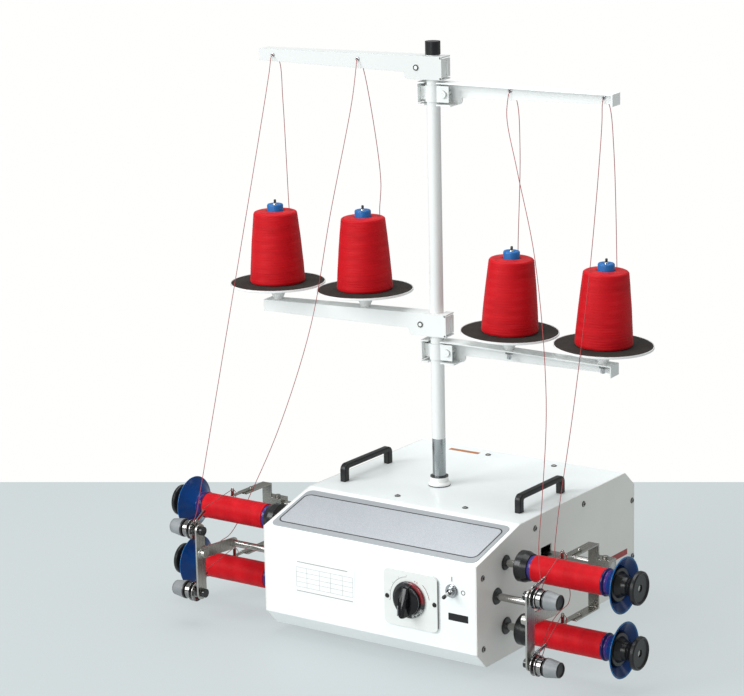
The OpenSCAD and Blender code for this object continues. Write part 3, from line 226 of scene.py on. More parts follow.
def times(colour, factor, plus=0):
    return tuple(min(1, c * factor + plus) for c in colour)


# Materials
def paint(name, light, dark, peel=0.1, edge=0.0007):
    """Powder coat: orange peel, faint handling marks, and a thin soft edge."""
    k = Mat(name)
    cloud, fine = k.cloud(9), k.fine(260)
    scuff = k.noise(60, 6, 0.75, (1, 0.35, 2.2))
    base = k.over(light, dark, cloud)
    base = k.over(base, times(dark, 0.86), scuff, 0.66, 0.8, 0.22)
    rough = k.add(k.spread(fine, 0.34, 0.46), k.spread(cloud, -0.03, 0.03))
    n = k.bump(k.noise(1150), peel, 0.00022, k.soft_edge(edge))
    return k.done(base, rough, n, coat=0.18, coat_rough=0.22)


def steel(name, tint, axis, rough, streak, edge=0.0003, rim=0, fade=None):
    """Ground or drawn steel with streaks along one axis (0 to 2).

    rim paints a highlight on its corners; fade (low z, high z, share) darkens it downwards.
    """
    k = Mat(name)
    stretch = [1, 1, 1]
    stretch[axis] = 0.02
    grain = k.noise(1500, 3, 0.6, stretch)
    cloud = k.cloud(45)
    soft = k.soft_edge(edge)
    base = k.over(times(tint, 0.86), tint, grain)
    base = k.over(base, times(tint, 0.72), cloud, 0.55, 0.8, 0.35)
    if fade:
        low, high, share = fade
        base = k.over(base, times(tint, share), k.xyz()[2], high, low)
    # painted highlight on the corners
    if rim:
        base = k.rim(base, soft, rim, (0.86, 0.86, 0.84))
    gloss = k.add(k.remap(grain, 0.25, 0.75, *rough), k.spread(cloud, -0.04, 0.05))
    return k.done(base, gloss, k.bump(grain, streak, 0.00008, soft), metallic=1, aniso=0.35)


def plating(name, tint):
    """Bright plating with faint smudges."""
    k = Mat(name)
    smudge = k.noise(70, 5, 0.65)
    base = k.over(tint, times(tint, 0.82), smudge, 0.45, 0.75, 0.5)
    n = k.bump(k.noise(900), 0.04, 0.00005, k.soft_edge(0.0003))
    return k.done(base, k.remap(smudge, 0.35, 0.75, 0.09, 0.17), n, metallic=1)


def plastic(name, light, dark, rough=(0.4, 0.5), grain=0.02, scale=1400, specular=0.5,
            coat=0):
    """Moulded plastic or print: fine texture, cloudy gloss, small scratches."""
    k = Mat(name)
    fine, cloud = k.fine(scale), k.cloud(60)
    scratch = k.noise(240, 5, 0.7, (0.25, 1, 1.6))
    base = k.over(light, dark, cloud)
    base = k.over(base, times(light, 1.6, 0.02), scratch, 0.68, 0.8, 0.25)
    gloss = k.add(k.spread(fine, *rough), k.spread(cloud, -0.03, 0.04))
    return k.done(base, gloss, k.bump(fine, grain, normal=k.soft_edge(0.0004)),
                  specular=specular, coat=coat, coat_rough=0.08)


def rubber(name, tint):
    """Dull rubber with dust."""
    k = Mat(name)
    fine, dust = k.noise(2200, 4, 0.7), k.noise(120, 5, 0.7)
    base = k.over(tint, times(tint, 2.2, 0.01), dust, 0.5, 0.8, 0.6)
    return k.moulded(base, fine, (0.62, 0.82), 0.3, specular=0.35)


def wound(name, bright, deep, pitch, lay, cross):
    """Thread wound round the local z: fine turns at a pitch, crossing bands, loose shades."""
    k = Mat(name)
    x, y, z = k.xyz()
    angle = k.math("ARCTAN2", y, x)
    # fine turns, one set for each lay direction
    turns, lean = TURN / pitch, k.mul(angle, lay)
    wobble = k.mul(k.sub(k.fine(120), 0.5), 2.6)
    rising = k.math("SINE", k.add(k.add(k.mul(z, turns), lean), wobble))
    falling = k.math("SINE", k.add(k.sub(k.mul(z, turns * 0.93), lean), wobble))
    # wide crossing bands, which choose between the two sets
    wide = TURN / cross
    band = k.mul(k.math("SINE", k.add(k.mul(z, wide), k.mul(angle, 2))),
                 k.math("SINE", k.sub(k.mul(z, wide * 1.13), k.mul(angle, 3))))
    pick = k.remap(band, -0.25, 0.25, 0, 1)
    fine = k.add(k.mul(rising, pick), k.mul(falling, k.sub(1, pick)))
    fuzz = k.noise(2600, 3, 0.7)
    shade = k.noise(38, 4, 0.6, (0.35, 0.35, 2.6))
    base = k.over(bright, deep, fine, 0.55, -1, 0.62)
    base = k.over(base, deep, shade, 0.42, 0.7, 0.4)
    base = k.over(base, times(bright, 1.25, 0.02), band, 0.2, 0.9, 0.16)
    n = k.bump(k.add(k.mul(fine, 0.5), k.mul(fuzz, 0.5)), 0.42, 0.00022)
    return k.done(base, k.spread(fuzz, 0.42, 0.62), n, specular=0.12, sheen=0.04, sheen_rough=0.4)


def thread_mat(name, bright, deep):
    k = Mat(name)
    ply = k.fine(1400)
    base = k.over(bright, deep, ply)
    base = k.over(base, times(deep, 0.8), k.fine(35), 0.4, 0.7, 0.4)
    return k.done(base, k.spread(ply, 0.45, 0.65), k.bump(ply, 0.5, 0.0002),
                  specular=0.4, sheen=0.2)


def foam(name, tint):
    k = Mat(name)
    cell = k.cells(1500)
    base = k.over(times(tint, 0.45), tint, cell, 0.05, 0.55)
    base = k.over(base, times(tint, 1.45), k.cloud(50), 0.45, 0.75, 0.5)
    height = k.add(k.mul(cell, 0.6), k.mul(k.cells(620), 0.6))
    return k.done(base, k.remap(cell, 0, 0.6, 0.95, 0.78), k.bump(height, 0.55, 0.0005),
                  specular=0.1)


def foil(name, light, dark, metallic=0.55):
    """Speckled foil: fine bright grains on a satin ground."""
    k = Mat(name)
    speck = k.noise(1250, 4, 0.8)
    base = k.over(dark, light, speck, 0.36, 0.64)
    base = k.over(base, times(light, 0.93), k.fine(14), 0.35, 0.7, 0.25)
    n = k.bump(k.add(speck, k.fine(420)), 0.16, 0.00012, k.soft_edge(0.0003))
    return k.done(base, k.spread(speck, 0.36, 0.52), n, metallic=metallic)


def tension_knob():
    """Grey plastic with black ends, by the distance from the casing's middle plane."""
    k = Mat("tension_knob_plastic")
    fine, cloud = k.fine(1300), k.cloud(55)
    black = (0.012, 0.012, 0.012)
    base = k.stepped(k.math("ABSOLUTE", k.xyz()[0]),
                     [(0.2379, black), (0.25245, (0.24, 0.255, 0.265)), (1, black)], 0.00005)
    base = k.over(base, (0.004, 0.005, 0.01), cloud, 0.35, 0.7, 0.35)
    gloss = k.add(k.spread(fine, 0.34, 0.46), k.spread(cloud, -0.03, 0.03))
    return k.done(base, gloss, k.bump(fine, 0.14, normal=k.soft_edge(0.0003)),
                  coat=0.05, coat_rough=0.06)


def spool_tube():
    """Violet neck and blue flare, by the distance from the casing's middle plane; the flare's rim is a
    lighter blue, a painted highlight.
    """
    k = Mat("spool_tube_plastic")
    fine = k.fine(1300)
    base = k.stepped(k.xyz()[2], [
        (0.2631, (0.045, 0.035, 0.17)), (0.2667, (0.012, 0.013, 0.085)),
        (0.2712, (0.055, 0.022, 0.16)), (0.2845, (0.0005, 0.036, 0.17)),
        # the flare's rim: lighter blue as a painted highlight
        (1, (0.01, 0.13, 0.34))], 0.0004)
    base = k.over(base, (0.004, 0.008, 0.03), k.cloud(70), 0.4, 0.75, 0.3)
    return k.moulded(base, fine, (0.14, 0.24), 0.05, specular=0.18, coat=0.09, coat_rough=0.04)


def knob_skirt():
    """Black, with a red sector and a silver one that breaks up into ticks."""
    k = Mat("knob_skirt_plastic")
    x, y, _ = k.xyz()
    angle = k.math("ARCTAN2", y, x)
    radius = k.math("SQRT", k.add(k.mul(x, x), k.mul(y, y)))
    fine = k.fine(1500)

    def sector(start, end, inside):
        sweep = k.mul(k.remap(angle, *start, 0, 1), k.remap(angle, *end, 1, 0))
        return k.mul(sweep, k.remap(radius, *inside, 0, 1))

    red = sector((-0.1, -0.02), (1.35, 1.55), (0.0162, 0.0166))
    ticks = k.remap(k.noise(900, 1, 0.4), 0.47, 0.53, 0, 1)
    silver = k.mul(sector((-1.33, -1.28), (-0.44, -0.38), (0.015, 0.0153)), ticks)
    base = k.mix(red, (0.01, 0.01, 0.011), (0.17, 0.001, 0.006))
    base = k.mix(silver, base, (0.55, 0.55, 0.54))
    return k.moulded(base, fine, (0.2, 0.32), 0.05, metallic=k.mul(silver, 0.8), coat=0.3)


def dial_plate():
    """Ivory plate with painted shade on its cut edge on the right."""
    k = Mat("dial_plate_plastic")
    fine = k.fine(1400)
    base = k.over((0.7, 0.72, 0.7), (0.67, 0.69, 0.67), k.cloud(60))
    # painted shade: darker colour on the cut edge at the right
    base = k.over(base, (0.2, 0.2, 0.19), k.xyz()[0], 0.0914, 0.0917)
    return k.moulded(base, fine, (0.2, 0.28), 0.03, 0.0003, coat=0.3)


def mast_collar():
    """Black foot, white ring, black lip, by height."""
    k = Mat("collar_plastic")
    fine = k.fine(1200)
    base = k.stepped(k.xyz()[2], [(0.1512, (0.012, 0.012, 0.012)), (0.1602, (0.8, 0.81, 0.8)),
                                  (1, (0.015, 0.015, 0.015))], 0.00004)
    base = k.over(base, (0.3, 0.3, 0.3), k.cloud(50), 0.4, 0.75, 0.12)
    return k.moulded(base, fine, (0.25, 0.36), 0.06, 0.0004, coat=0.2)


def bearing_bush():
    """Black bushes in the side panels, plain steel brackets inside the casing."""
    k = Mat("bush_plastic")
    fine = k.fine(1300)
    outside = k.remap(k.math("ABSOLUTE", k.xyz()[0]), 0.1305, 0.1312, 0, 1)
    base = k.mix(outside, (0.34, 0.34, 0.33), (0.012, 0.012, 0.013))
    return k.moulded(base, fine, (0.28, 0.4), 0.08, 0.0003, metallic=k.sub(1, outside))


def toggle_lever():
    """Plated lever with a black tip at the front."""
    k = Mat("lever_plating")
    smudge = k.cloud(500)
    tip = k.remap(k.xyz()[1], -0.1672, -0.1664, 1, 0)
    base = k.mix(tip, (0.6, 0.6, 0.59), (0.02, 0.02, 0.02))
    return k.moulded(base, smudge, (0.12, 0.26), 0.05, metallic=k.sub(1, tip))


def tension_discs():
    """Black nuts behind the plates; outside them washers and dished discs with a painted highlight on
    their rims.
    """
    k = Mat("disc_plating")
    smudge, soft = k.cloud(300), k.soft_edge(0.0004)
    nut = k.remap(k.math("ABSOLUTE", k.xyz()[0]), 0.2153, 0.2155, 1, 0)
    base = k.over((0.34, 0.335, 0.33), (0.26, 0.255, 0.25), smudge, 0.35, 0.65)
    # painted highlight on the rims
    base = k.rim(base, soft, 0.8, (0.85, 0.85, 0.84))
    base = k.mix(nut, base, (0.01, 0.01, 0.011))
    return k.done(base, k.spread(smudge, 0.1, 0.22), k.bump(smudge, 0.05, normal=soft),
                  metallic=k.sub(1, nut))


M = {
    # the upper arms carry painted light: the left one is a darker copy of the arm paint (painted
    # shade), the right one a lighter copy (painted light)
    "casing": paint("casing_powder_coat", (0.81, 0.84, 0.84), (0.77, 0.8, 0.8)),
    # the side panels' paint is a darker, warmer copy of the casing's: painted shade
    "side": paint("side_panel_painted_shade_coat", (0.76, 0.755, 0.72), (0.71, 0.705, 0.67)),
    "arm": paint("arm_powder_coat", (0.745, 0.765, 0.755), (0.705, 0.725, 0.715), 0.07, 0.0004),
    "arm_painted_shade": paint("arm_powder_coat_painted_shade", (0.655, 0.675, 0.665), (0.625, 0.645, 0.635), 0.07,
        0.0004),
    "arm_painted_light": paint("arm_powder_coat_painted_light", (0.86, 0.88, 0.87), (0.83, 0.85, 0.84), 0.07, 0.0004),
    "pan": paint("pan_powder_coat", (0.62, 0.63, 0.63), (0.55, 0.56, 0.56)),
    "motor": paint("motor_paint", (0.06, 0.07, 0.08), (0.04, 0.05, 0.06)),
    "foil": foil("nameplate_foil", (0.64, 0.665, 0.7), (0.4, 0.425, 0.46)),
    "band": foil("nameplate_band", (0.43, 0.45, 0.47), (0.36, 0.38, 0.4), 0.4),
    "chrome": plating("bright_plating", (0.48, 0.49, 0.5)),
    "rod": steel("ground_rod", (0.46, 0.45, 0.43), 0, (0.14, 0.26), 0.08),
    "post": steel("mast_post_plating", (0.56, 0.6, 0.61), 2, (0.16, 0.3), 0.1,
        fade=(0.155, 0.215, 0.42)),
    # strip and plate carry a painted highlight on their corners
    "sheet": steel("stainless_strip", (0.34, 0.33, 0.3), 1, (0.2, 0.34), 0.1, 0.0004, 0.8),
    "plate": steel("stainless_plate", (0.46, 0.45, 0.42), 2, (0.2, 0.34), 0.1, 0.0004, 0.8),
    "screw": steel("screw_steel", (0.34, 0.335, 0.32), 2, (0.22, 0.36), 0.05, 0.0002),
    # dark steel for painted shade on screw rims and cross recesses, and for the insert nuts' dark
    # rings
    "painted_screw_shade_and_dark_nut": steel("screw_painted_shade_steel", (0.05, 0.048, 0.044), 2, (0.34, 0.46), 0.05, 0.0002),
    "dark_steel": steel("dark_steel", (0.22, 0.22, 0.21), 0, (0.3, 0.45), 0.1),
    "tray": plastic("tray_plastic", (0.82, 0.82, 0.81), (0.76, 0.77, 0.76), (0.28, 0.36), 0.05,
        coat=0.2),
    "black": plastic("black_plastic", (0.012, 0.012, 0.013), (0.007, 0.007, 0.008), (0.24, 0.36), 0.1,
        specular=0.34, coat=0.06),
    "black_gloss": plastic("black_gloss_plastic", (0.006, 0.006, 0.007), (0.004, 0.004, 0.005),
        (0.14, 0.22), 0.04, specular=0.24, coat=0.1),
    "handle": plastic("handle_plastic", (0.01, 0.01, 0.011), (0.006, 0.006, 0.007), (0.3, 0.42), 0.16,
        1100, 0.28, 0.05),
    "tube_blue": plastic("cone_tube_plastic", (0.014, 0.135, 0.4), (0.01, 0.11, 0.34), (0.34, 0.42),
        0.05, specular=0.3, coat=0.05),
    "board": plastic("board_laminate", (0.03, 0.16, 0.06), (0.02, 0.12, 0.05), (0.25, 0.35), 0.1, 700),
    "ink": plastic("print_ink", (0.045, 0.045, 0.046), (0.03, 0.03, 0.03)),
    # grey strips that paint highlights on the speed knob
    "knob_painted_highlight": plastic("knob_edge_painted_highlight", (0.22, 0.25, 0.27), (0.17, 0.19, 0.2), (0.3, 0.4), 0.02),
    "ink_grey": plastic("print_ink_grey", (0.34, 0.34, 0.33), (0.28, 0.28, 0.28)),
    "ink_pale": plastic("print_ink_pale", (0.44, 0.44, 0.43), (0.38, 0.38, 0.37)),
    "ink_red": plastic("print_ink_red", (0.42, 0.14, 0.13), (0.32, 0.09, 0.09)),
    "label_red": plastic("label_red", (0.33, 0.02, 0.014), (0.24, 0.013, 0.01), (0.35, 0.45), 0.03),
    "label_black": plastic("label_black", (0.012, 0.012, 0.013), (0.008, 0.008, 0.009), (0.3, 0.4),
        0.03, specular=0.3),
    "label_white": plastic("label_white", (0.8, 0.81, 0.81), (0.76, 0.77, 0.77), (0.3, 0.4), 0.03),
    "label_amber": plastic("label_amber", (0.46, 0.17, 0.05), (0.36, 0.12, 0.04), (0.35, 0.45), 0.03),
    "rubber": rubber("foot_rubber", (0.022, 0.022, 0.023)),
    "belt": rubber("belt_rubber", (0.03, 0.028, 0.026)),
    "cone": wound("cone_thread", (0.55, 0.005, 0.011), (0.3, 0.001, 0.004), 0.0011, 3, 0.021),
    "package": wound("package_thread", (0.57, 0.003, 0.01), (0.28, 0.001, 0.004), 0.0012, 1, 0.055),
    "thread": thread_mat("loose_thread", (0.42, 0.035, 0.035), (0.24, 0.014, 0.016)),
    "foam": foam("tray_foam", (0.034, 0.031, 0.028)),
    "knob_end": tension_knob(),
    "spool": spool_tube(),
    "skirt": knob_skirt(),
    "dial": dial_plate(),
    "collar": mast_collar(),
    "bush": bearing_bush(),
    "lever": toggle_lever(),
    "discs": tension_discs(),
}


# Mesh helpers
def verts(bm, pts, place=Matrix()):
    """New vertices at points in mm, put in place by a matrix in metres."""
    return [bm.verts.new(place @ (Vector(p) * MM)) for p in pts]


def join(bm, p, q):
    """Faces between two rings of vertices, either of which may be a single point."""
    n = max(len(p), len(q))
    faces = []
    for i in range(n):
        j = (i + 1) % n
        if len(p) == 1:
            corners = (p[0], q[i], q[j])
        elif len(q) == 1:
            corners = (p[i], p[j], q[0])
        else:
            corners = (p[i], p[j], q[j], q[i])
        faces.append(bm.faces.new(corners))
    return faces


def sweep(bm, rings):
    """Closed solid through rings of vertices."""
    for p, q in zip(rings, rings[1:]):
        join(bm, p, q)
    bm.faces.new(rings[0][::-1])
    bm.faces.new(rings[-1])


def extrude(bm, ring, move=(0, 0, 0)):
    """Closed solid from one face, moved by so many mm; its far vertices are returned."""
    got = bmesh.ops.extrude_face_region(bm, geom=[bm.faces.new(ring)])
    far = [g for g in got["geom"] if isinstance(g, bmesh.types.BMVert)]
    bmesh.ops.translate(bm, verts=far, vec=Vector(move) * MM)
    return far


def lathe(bm, profile, segs, wave=None):
    """Turns an (r, z) profile round the local z axis; wave(r, z, angle) adds to the radius.

    A profile that starts off the axis is a closed loop.
    """
    rings = []
    for r, z in profile:
        ring = []
        for a in circle(segs) if r > 0 else [0]:
            rr = r + (wave(r, z, a) if wave else 0)
            ring.append((rr * cos(a), rr * sin(a), z))
        rings.append(verts(bm, ring))
    for p, q in zip(rings, rings[1:] + (rings[:1] if profile[0][0] else [])):
        join(bm, p, q)


def mesh_object(name, bm, mat, smooth=True):
    bmesh.ops.recalc_face_normals(bm, faces=bm.faces)
    me = bpy.data.meshes.new(name)
    bm.to_mesh(me)
    bm.free()
    me.materials.append(mat)
    for p in me.polygons:
        p.use_smooth = smooth
    return new_object(name, me)


def add(name, bm, mat, body, slot, nodes=(), matrix=Matrix(), smooth=True):
    o = mesh_object(name, bm, M[mat], smooth)
    o.matrix_world = matrix
    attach(o, body)
    if nodes:
        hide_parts(*nodes)
    return o


def turned(name, profile, segs, mat, body, slot, nodes, matrix, wave=None, smooth=True):
    bm = bmesh.new()
    lathe(bm, profile, segs, wave)
    return add(name, bm, mat, body, slot, nodes, matrix, smooth)


def sharpen(o, limit):
    """Edges whose faces differ by more than this many degrees are shaded sharp."""
    bm = bmesh.new()
    bm.from_mesh(o.data)
    for e in bm.edges:
        e.smooth = len(e.link_faces) == 2 and e.calc_face_angle(0) < radians(limit)
    bm.to_mesh(o.data)
    bm.free()


def rounded(pts, radii, n):
    """Rounds the corners of a closed 2-D outline, n steps each; radii is one or a list."""
    out = []
    for i, p in enumerate(pts):
        r = radii[i] if isinstance(radii, list) else radii
        if r <= 0:
            out.append(p)
            continue
        p, before, after = Vector(p), Vector(pts[i - 1]), Vector(pts[(i + 1) % len(pts)])
        u, v = (before - p).normalized(), (after - p).normalized()
        half = u.angle(v) / 2
        centre = p + (u + v).normalized() * (r / sin(half))
        s, e = (p + w * (r / tan(half)) - centre for w in (u, v))
        a0 = atan2(s.y, s.x)
        turn = (atan2(e.y, e.x) - a0 + pi) % TURN - pi
        angles = [a0 + turn * k / n for k in range(n + 1)]
        out += [tuple(centre + r * Vector((cos(a), sin(a)))) for a in angles]
    return out


def between(p, q, a, b, t):
    """The point at t on the line that passes p at a and q at b."""
    return ((b - t) * p + (t - a) * q) / (b - a)


def smooth_path(pts, n=8):
    """Centripetal curve through points in metres, n steps between two of them."""
    pts = [pts[0] * 2 - pts[1]] + pts + [pts[-1] * 2 - pts[-2]]
    out = []
    for i in range(1, len(pts) - 2):
        p, t = pts[i - 1:i + 3], [0]
        for before, after in zip(p, p[1:]):
            t.append(t[-1] + max((after - before).length, 1e-6) ** 0.5)
        for k in range(n):
            at = t[1] + (t[2] - t[1]) * k / n
            a = [between(p[j], p[j + 1], t[j], t[j + 1], at) for j in range(3)]
            b = [between(a[j], a[j + 1], t[j], t[j + 2], at) for j in range(2)]
            out.append(between(b[0], b[1], t[1], t[2], at))
    return out + [pts[-2]]


# Threads
THREAD_R = 0.0004  # metres
STUD_X, STUD_Y, STUD_R = 225.3, -18, 4.4  # the thread's turn round a tension stud
STUD_Z = {"upper": 103, "lower": 30}
TIP_RISE = 19.2  # from the stud up to the tensioner's tip
EYE_X, EYE_SHIFT, EYE_Y = 220.75, -20.7, 72.8  # the traverse fingers' eyes
EYE_Z = {"upper": 123, "lower": 53}
LAY_DX, LAY_Y, LAY_END_Y, LAY_RISE = 4, 76.4, 72.75, 5
UNDER_TRAYS = {"left": 345, "right": 312}  # a path point at this height becomes each running thread's blend end, which thread() does not use
BEHIND_SPOOLS = 100  # a path point at this height becomes the lower threads' blend start, which thread() does not use
SUPPLY = {
    "left": [
        [(-217, 166.5, 430), (-217, 165.5, 443), (-214, 156, 565), (-212, 149, 610),
         (-212.5, 140.5, 618.2), (-212.1, 135.9, 618.2)],
        [(-99.5, 179.8, 431), (-99.5, 178.5, 444), (-96, 177, 480), (-101, 163, 582),
         (-102, 154, 612), (-102.9, 149.9, 618.8), (-102.6, 145.8, 618.8)],
    ],
    "right": [
        [(69, 201.6, 398.5), (69, 200.8, 411), (75, 197, 524), (74, 193, 578),
         (70.2, 188.1, 589.8), (70.6, 184, 589.8)],
        [(186.5, 212.7, 395), (187, 211.8, 408), (186, 207, 531), (183, 203.5, 578),
         (179.6, 199.6, 588.3), (180, 195.5, 588.3)],
    ],
}
RUNS = [
    ("left", "outer", "upper", [
        (-212, 135.5, 618), (-211.5, 133, 616), (-212, 129, 598), (-225.3, -11, 121)]),
    ("left", "inner", "lower", [
        (-102.5, 145.4, 618.5), (-101.5, 143, 615), (-102.5, 134.5, 575), (-126.3, 121, 447.1),
        (-147.5, 108, 321.1), (-189.1, 96, 196.2), (-227.2, 85, 110.8), (-233, 72, 86),
        (-226.4, 46, 78), (-225.3, 30, 76), (-225.3, 10, 68), (-225.3, -11, 47)]),
    ("right", "inner", "upper", [
        (70.6, 183.5, 589.5), (70, 181.2, 582), (73, 174, 562), (99, 152, 511), (143, 116, 424),
        (190, 60, 291), (208.5, 20.5, 195.5), (216.5, 0, 147), (225.3, -11, 120)]),
    ("right", "outer", "lower", [
        (180, 195, 588), (180, 193, 581), (183.5, 186, 561), (189.2, 153, 421.6),
        (188.4, 118, 268.5), (183.7, 90, 141.5), (188, 80, 115), (200, 75, 99), (214, 66, 86),
        (224, 46, 78), (225.3, 30, 76), (225.3, 10, 68), (225.3, -10, 47)]),
]


def thread(name, pts, node, body, blend=None, sides=8):
    """Round thread along points in metres; given a blend it stays unattached in the part frame, and
    the blend's (start, end) points are not used.
    """
    bm = bmesh.new()
    u = (pts[1] - pts[0]).normalized().cross(Vector((0.3, 1, 0.1))).normalized()
    rings = []
    for i, p in enumerate(pts):
        t = (pts[min(i + 1, len(pts) - 1)] - pts[max(i - 1, 0)]).normalized()
        u = (u - t * u.dot(t)).normalized()
        w = t.cross(u)
        rings.append([bm.verts.new(p + THREAD_R * (u * cos(a) + w * sin(a)))
                      for a in circle(sides)])
    sweep(bm, rings)
    o = mesh_object(name, bm, M["thread"])
    if blend:
        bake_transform(o)
    else:
        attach(o, body)
    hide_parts(node)


def at_height(path, z):
    return min(path, key=lambda p: abs(p.z - C(0, 0, z).z))


def make_threads():
    for side, routes in SUPPLY.items():
        for i, pts in enumerate(routes):
            thread(f"supply_thread_{side}_{i + 1}", smooth_path([C(*p) for p in pts]),
                   "supply_threads_" + side, "thread_arm_" + side)
    for side, which, level, pts in RUNS:
        tag, x, z = f"{side}_{which}", SIDES[side] * STUD_X, STUD_Z[level]
        # over the arm, down to the stud, half a turn round it and up to the tip
        angles = [pi * k / 8 for k in range(9)]
        wrap = [C(x, STUD_Y - STUD_R * cos(a), z - STUD_R * sin(a)) for a in angles]
        tip = C(x, 0, z + TIP_RISE)
        path = smooth_path([C(*p) for p in pts]) + wrap + [tip]
        start = at_height(path, BEHIND_SPOOLS) if level == "lower" else C(*pts[-1])
        thread("run_thread_" + tag, path, "running_threads", "thread_arm_" + side,
               (start, at_height(path, UNDER_TRAYS[side])))
        # to the traverse's eye, and from there to the package
        eye_x, eye_z, axis_z = EYE_SHIFT + SIDES[side] * EYE_X, EYE_Z[level], SPINDLE_Z[level]
        eye = C(eye_x, EYE_Y, eye_z)
        thread("guide_thread_" + tag, [tip.lerp(eye, k / 6) for k in range(7)],
               "running_threads", "traverse", (tip, eye))
        lay_x = eye_x + LAY_DX
        thread("lay_thread_" + tag,
               [eye, C(eye_x, LAY_Y, eye_z), C(lay_x, LAY_Y, (eye_z + axis_z) / 2 + LAY_RISE),
                C(lay_x, LAY_END_Y, axis_z)], "running_threads", "traverse")


make_threads()


# Cones, tubes, pads

# each arm's direction in degrees, the height of its top, and its sag in degrees
LOWER = {"left": (187, 339.5, 0.5), "right": (5.2, 308.5, 2)}
UPPER = {"left": (185, 625.5, 0.3), "right": (6, 597, 0.8)}
SAG_FROM, STATION_Y = 30, 1.5
STATION_X, EYELET_X = (89, 202), (88, 198)
SEAT = 20.4  # the top of the pad above the arm
CONE_SEED = {"left": 17, "right": 37}


def drop(x, sag):
    return (x - SAG_FROM) * tan(radians(sag))


def cone_profile():
    base, top, height, shoulder, steps = 31.5, 25, 82, 3, 120
    prof = [(9.25, 0), (base - 2.2, 0), (base - 1, 0.35), (base - 0.25, 1.2), (base, 2.6)]
    z0, z1 = 3.2, height - 0.5 - shoulder
    for i in range(steps + 1):
        t = i / steps
        prof.append((base + (top - base) * t + 0.5 * sin(pi * t), z0 + (z1 - z0) * t))
    for a in map(radians, range(15, 91, 15)):
        prof.append((top - shoulder * (1 - cos(a)), z1 + shoulder * sin(a)))
    prof += [(19, height), (13, height + 0.25), (10.4, height + 0.1), (9.25, height - 0.4)]
    return [(r, z + SEAT) for r, z in prof]


def cone_wave(seed):
    """Shallow crossing turns and a slightly uneven body."""
    rnd = random.Random(seed)
    phase = [rnd.uniform(0, 6.28) for _ in range(3)]

    def wave(r, z, a):
        if r < 10:
            return 0
        turns = sin(TURN * z / 2.6 + a * 2 + phase[0])
        turns += sin(TURN * z / 3.1 - a * 3 + phase[1])
        at = Vector((cos(a) * 1.6, sin(a) * 1.6, z / 14 + phase[2]))
        return 0.05 * turns + 0.16 * noise.noise(at)

    return wave


def pad_wave(r, z, a):
    """A slightly uneven cut edge."""
    if r <= 50:
        return 0
    return 0.12 * noise.noise(Vector((cos(a) * 6, sin(a) * 6, z * 0.9)))


PAD = [(2.56, 18.95), (52.9, 18.95), (53.2, 19.3), (53.2, 20), (52.9, 20.28), (52.2, 20.4)]
PAD += [(r, 20.4) for r in (50, 46, 42, 38, 34, 30, 22, 12, 2.56)]
CONE_TUBE = [(7.4, 20.4), (9.2, 20.4), (9.2, 108.6), (8.95, 109.5), (8.3, 110.2), (7.6, 110.4),
             (5.6, 110.25), (4.4, 109.8), (3.1, 109.6), (2.56, 109.4), (2.56, 106.8), (7.4, 106.8)]
PIN = [(0, -11.5), (2.2, -11.5), (2.5, -11.1), (2.5, -5.6), (2.5, 107.5), (2.4, 109),
       (2.1, 111), (1.5, 111.4), (0, 111.4)]
PIN_TIP = [(0, 111.2), (1.4, 111.2), (1.45, 111.6), (1.4, 114.6), (1.1, 115.2), (0.5, 115.4),
           (0, 115.4)]
PIN_NUT = [(2.5, -5.5), (4.4, -5.5), (5, -5), (5, -2), (4.4, -1.5), (2.5, -1.5)]

POST_PARTS = [("tube", CONE_TUBE, 48, "tube_blue", "tube_blue"),
              ("pin", PIN, 24, "chrome", "chrome_bright"),
              ("pin_tip", PIN_TIP, 20, "black", "black_plastic"),
              ("nut", PIN_NUT, 6, "dark_steel", "steel_plain")]


def make_stations():
    for side in SIDES:
        direction, top, sag = LOWER[side]
        body, posts = "tray_arm_" + side, ["cone_posts_" + side]
        for i, x in enumerate(STATION_X):
            tag = f"{side}_{i + 1}"
            m = to(MAST_X, MAST_Y, top, direction) @ by(x, STATION_Y, -drop(x, sag), sag, "Y")
            turned("cone_thread_" + tag, cone_profile(), 112, "cone", body, "thread_red",
                   ["cones_" + side], m, cone_wave(CONE_SEED[side] + i))
            bm = bmesh.new()
            lathe(bm, PAD, 96, pad_wave)
            for v in bm.verts:  # the ring round the cone is uneven on top
                if v.co.z > 0.0203 and 0.034 < hypot(v.co.x, v.co.y) < 0.052:
                    v.co.z += 0.00012 * noise.noise(v.co * 140)
            pad = add("pad_foam_" + tag, bm, "foam", body, "pad_foam", ["pads_" + side], m)
            for name, profile, segs, mat, slot in POST_PARTS:
                turned(f"cone_{name}_{tag}", profile, segs, mat, body, slot, posts, m,
                       smooth=segs > 6)


make_stations()


# Spools
SPOOL_TUBE = [
    (11, 173.4), (13.2, 173.4), (13.4, 173.7), (13.4, 177.6), (13.4, 263.5), (14.3, 263.6),
    (14.9, 263.9), (15.1, 264.4), (15.1, 265.5), (14.9, 266), (14.2, 266.4), (13.3, 266.6),
    (13, 267.2), (13, 268.6), (13.4, 270), (14.6, 271.6), (16.4, 273.6), (18.6, 275.8),
    (21.2, 278.2), (24.2, 280.6), (27.2, 282.6), (29.4, 283.7), (30.3, 284.2), (30.5, 284.7),
    (30.3, 285.1), (29.8, 285.3), (29.2, 285.1), (28.4, 284.4), (26.2, 282.9), (23.2, 280.8),
    (20.4, 278.4), (17.8, 275.9), (15.8, 273.6), (14.4, 271.2), (13.6, 269.4), (11, 269.2)]
PACKAGE = [(13.45, 178), (14, 178), (14.3, 178.25)]
PACKAGE += [(14.46, 178.5 + 84.5 * i / 150) for i in range(151)]
PACKAGE += [(14.3, 263.25), (14, 263.45), (13.45, 263.45)]
PACKAGE_PHASE = {"upper": 3.1, "lower": 7.7, "left": 0, "right": 1.3}


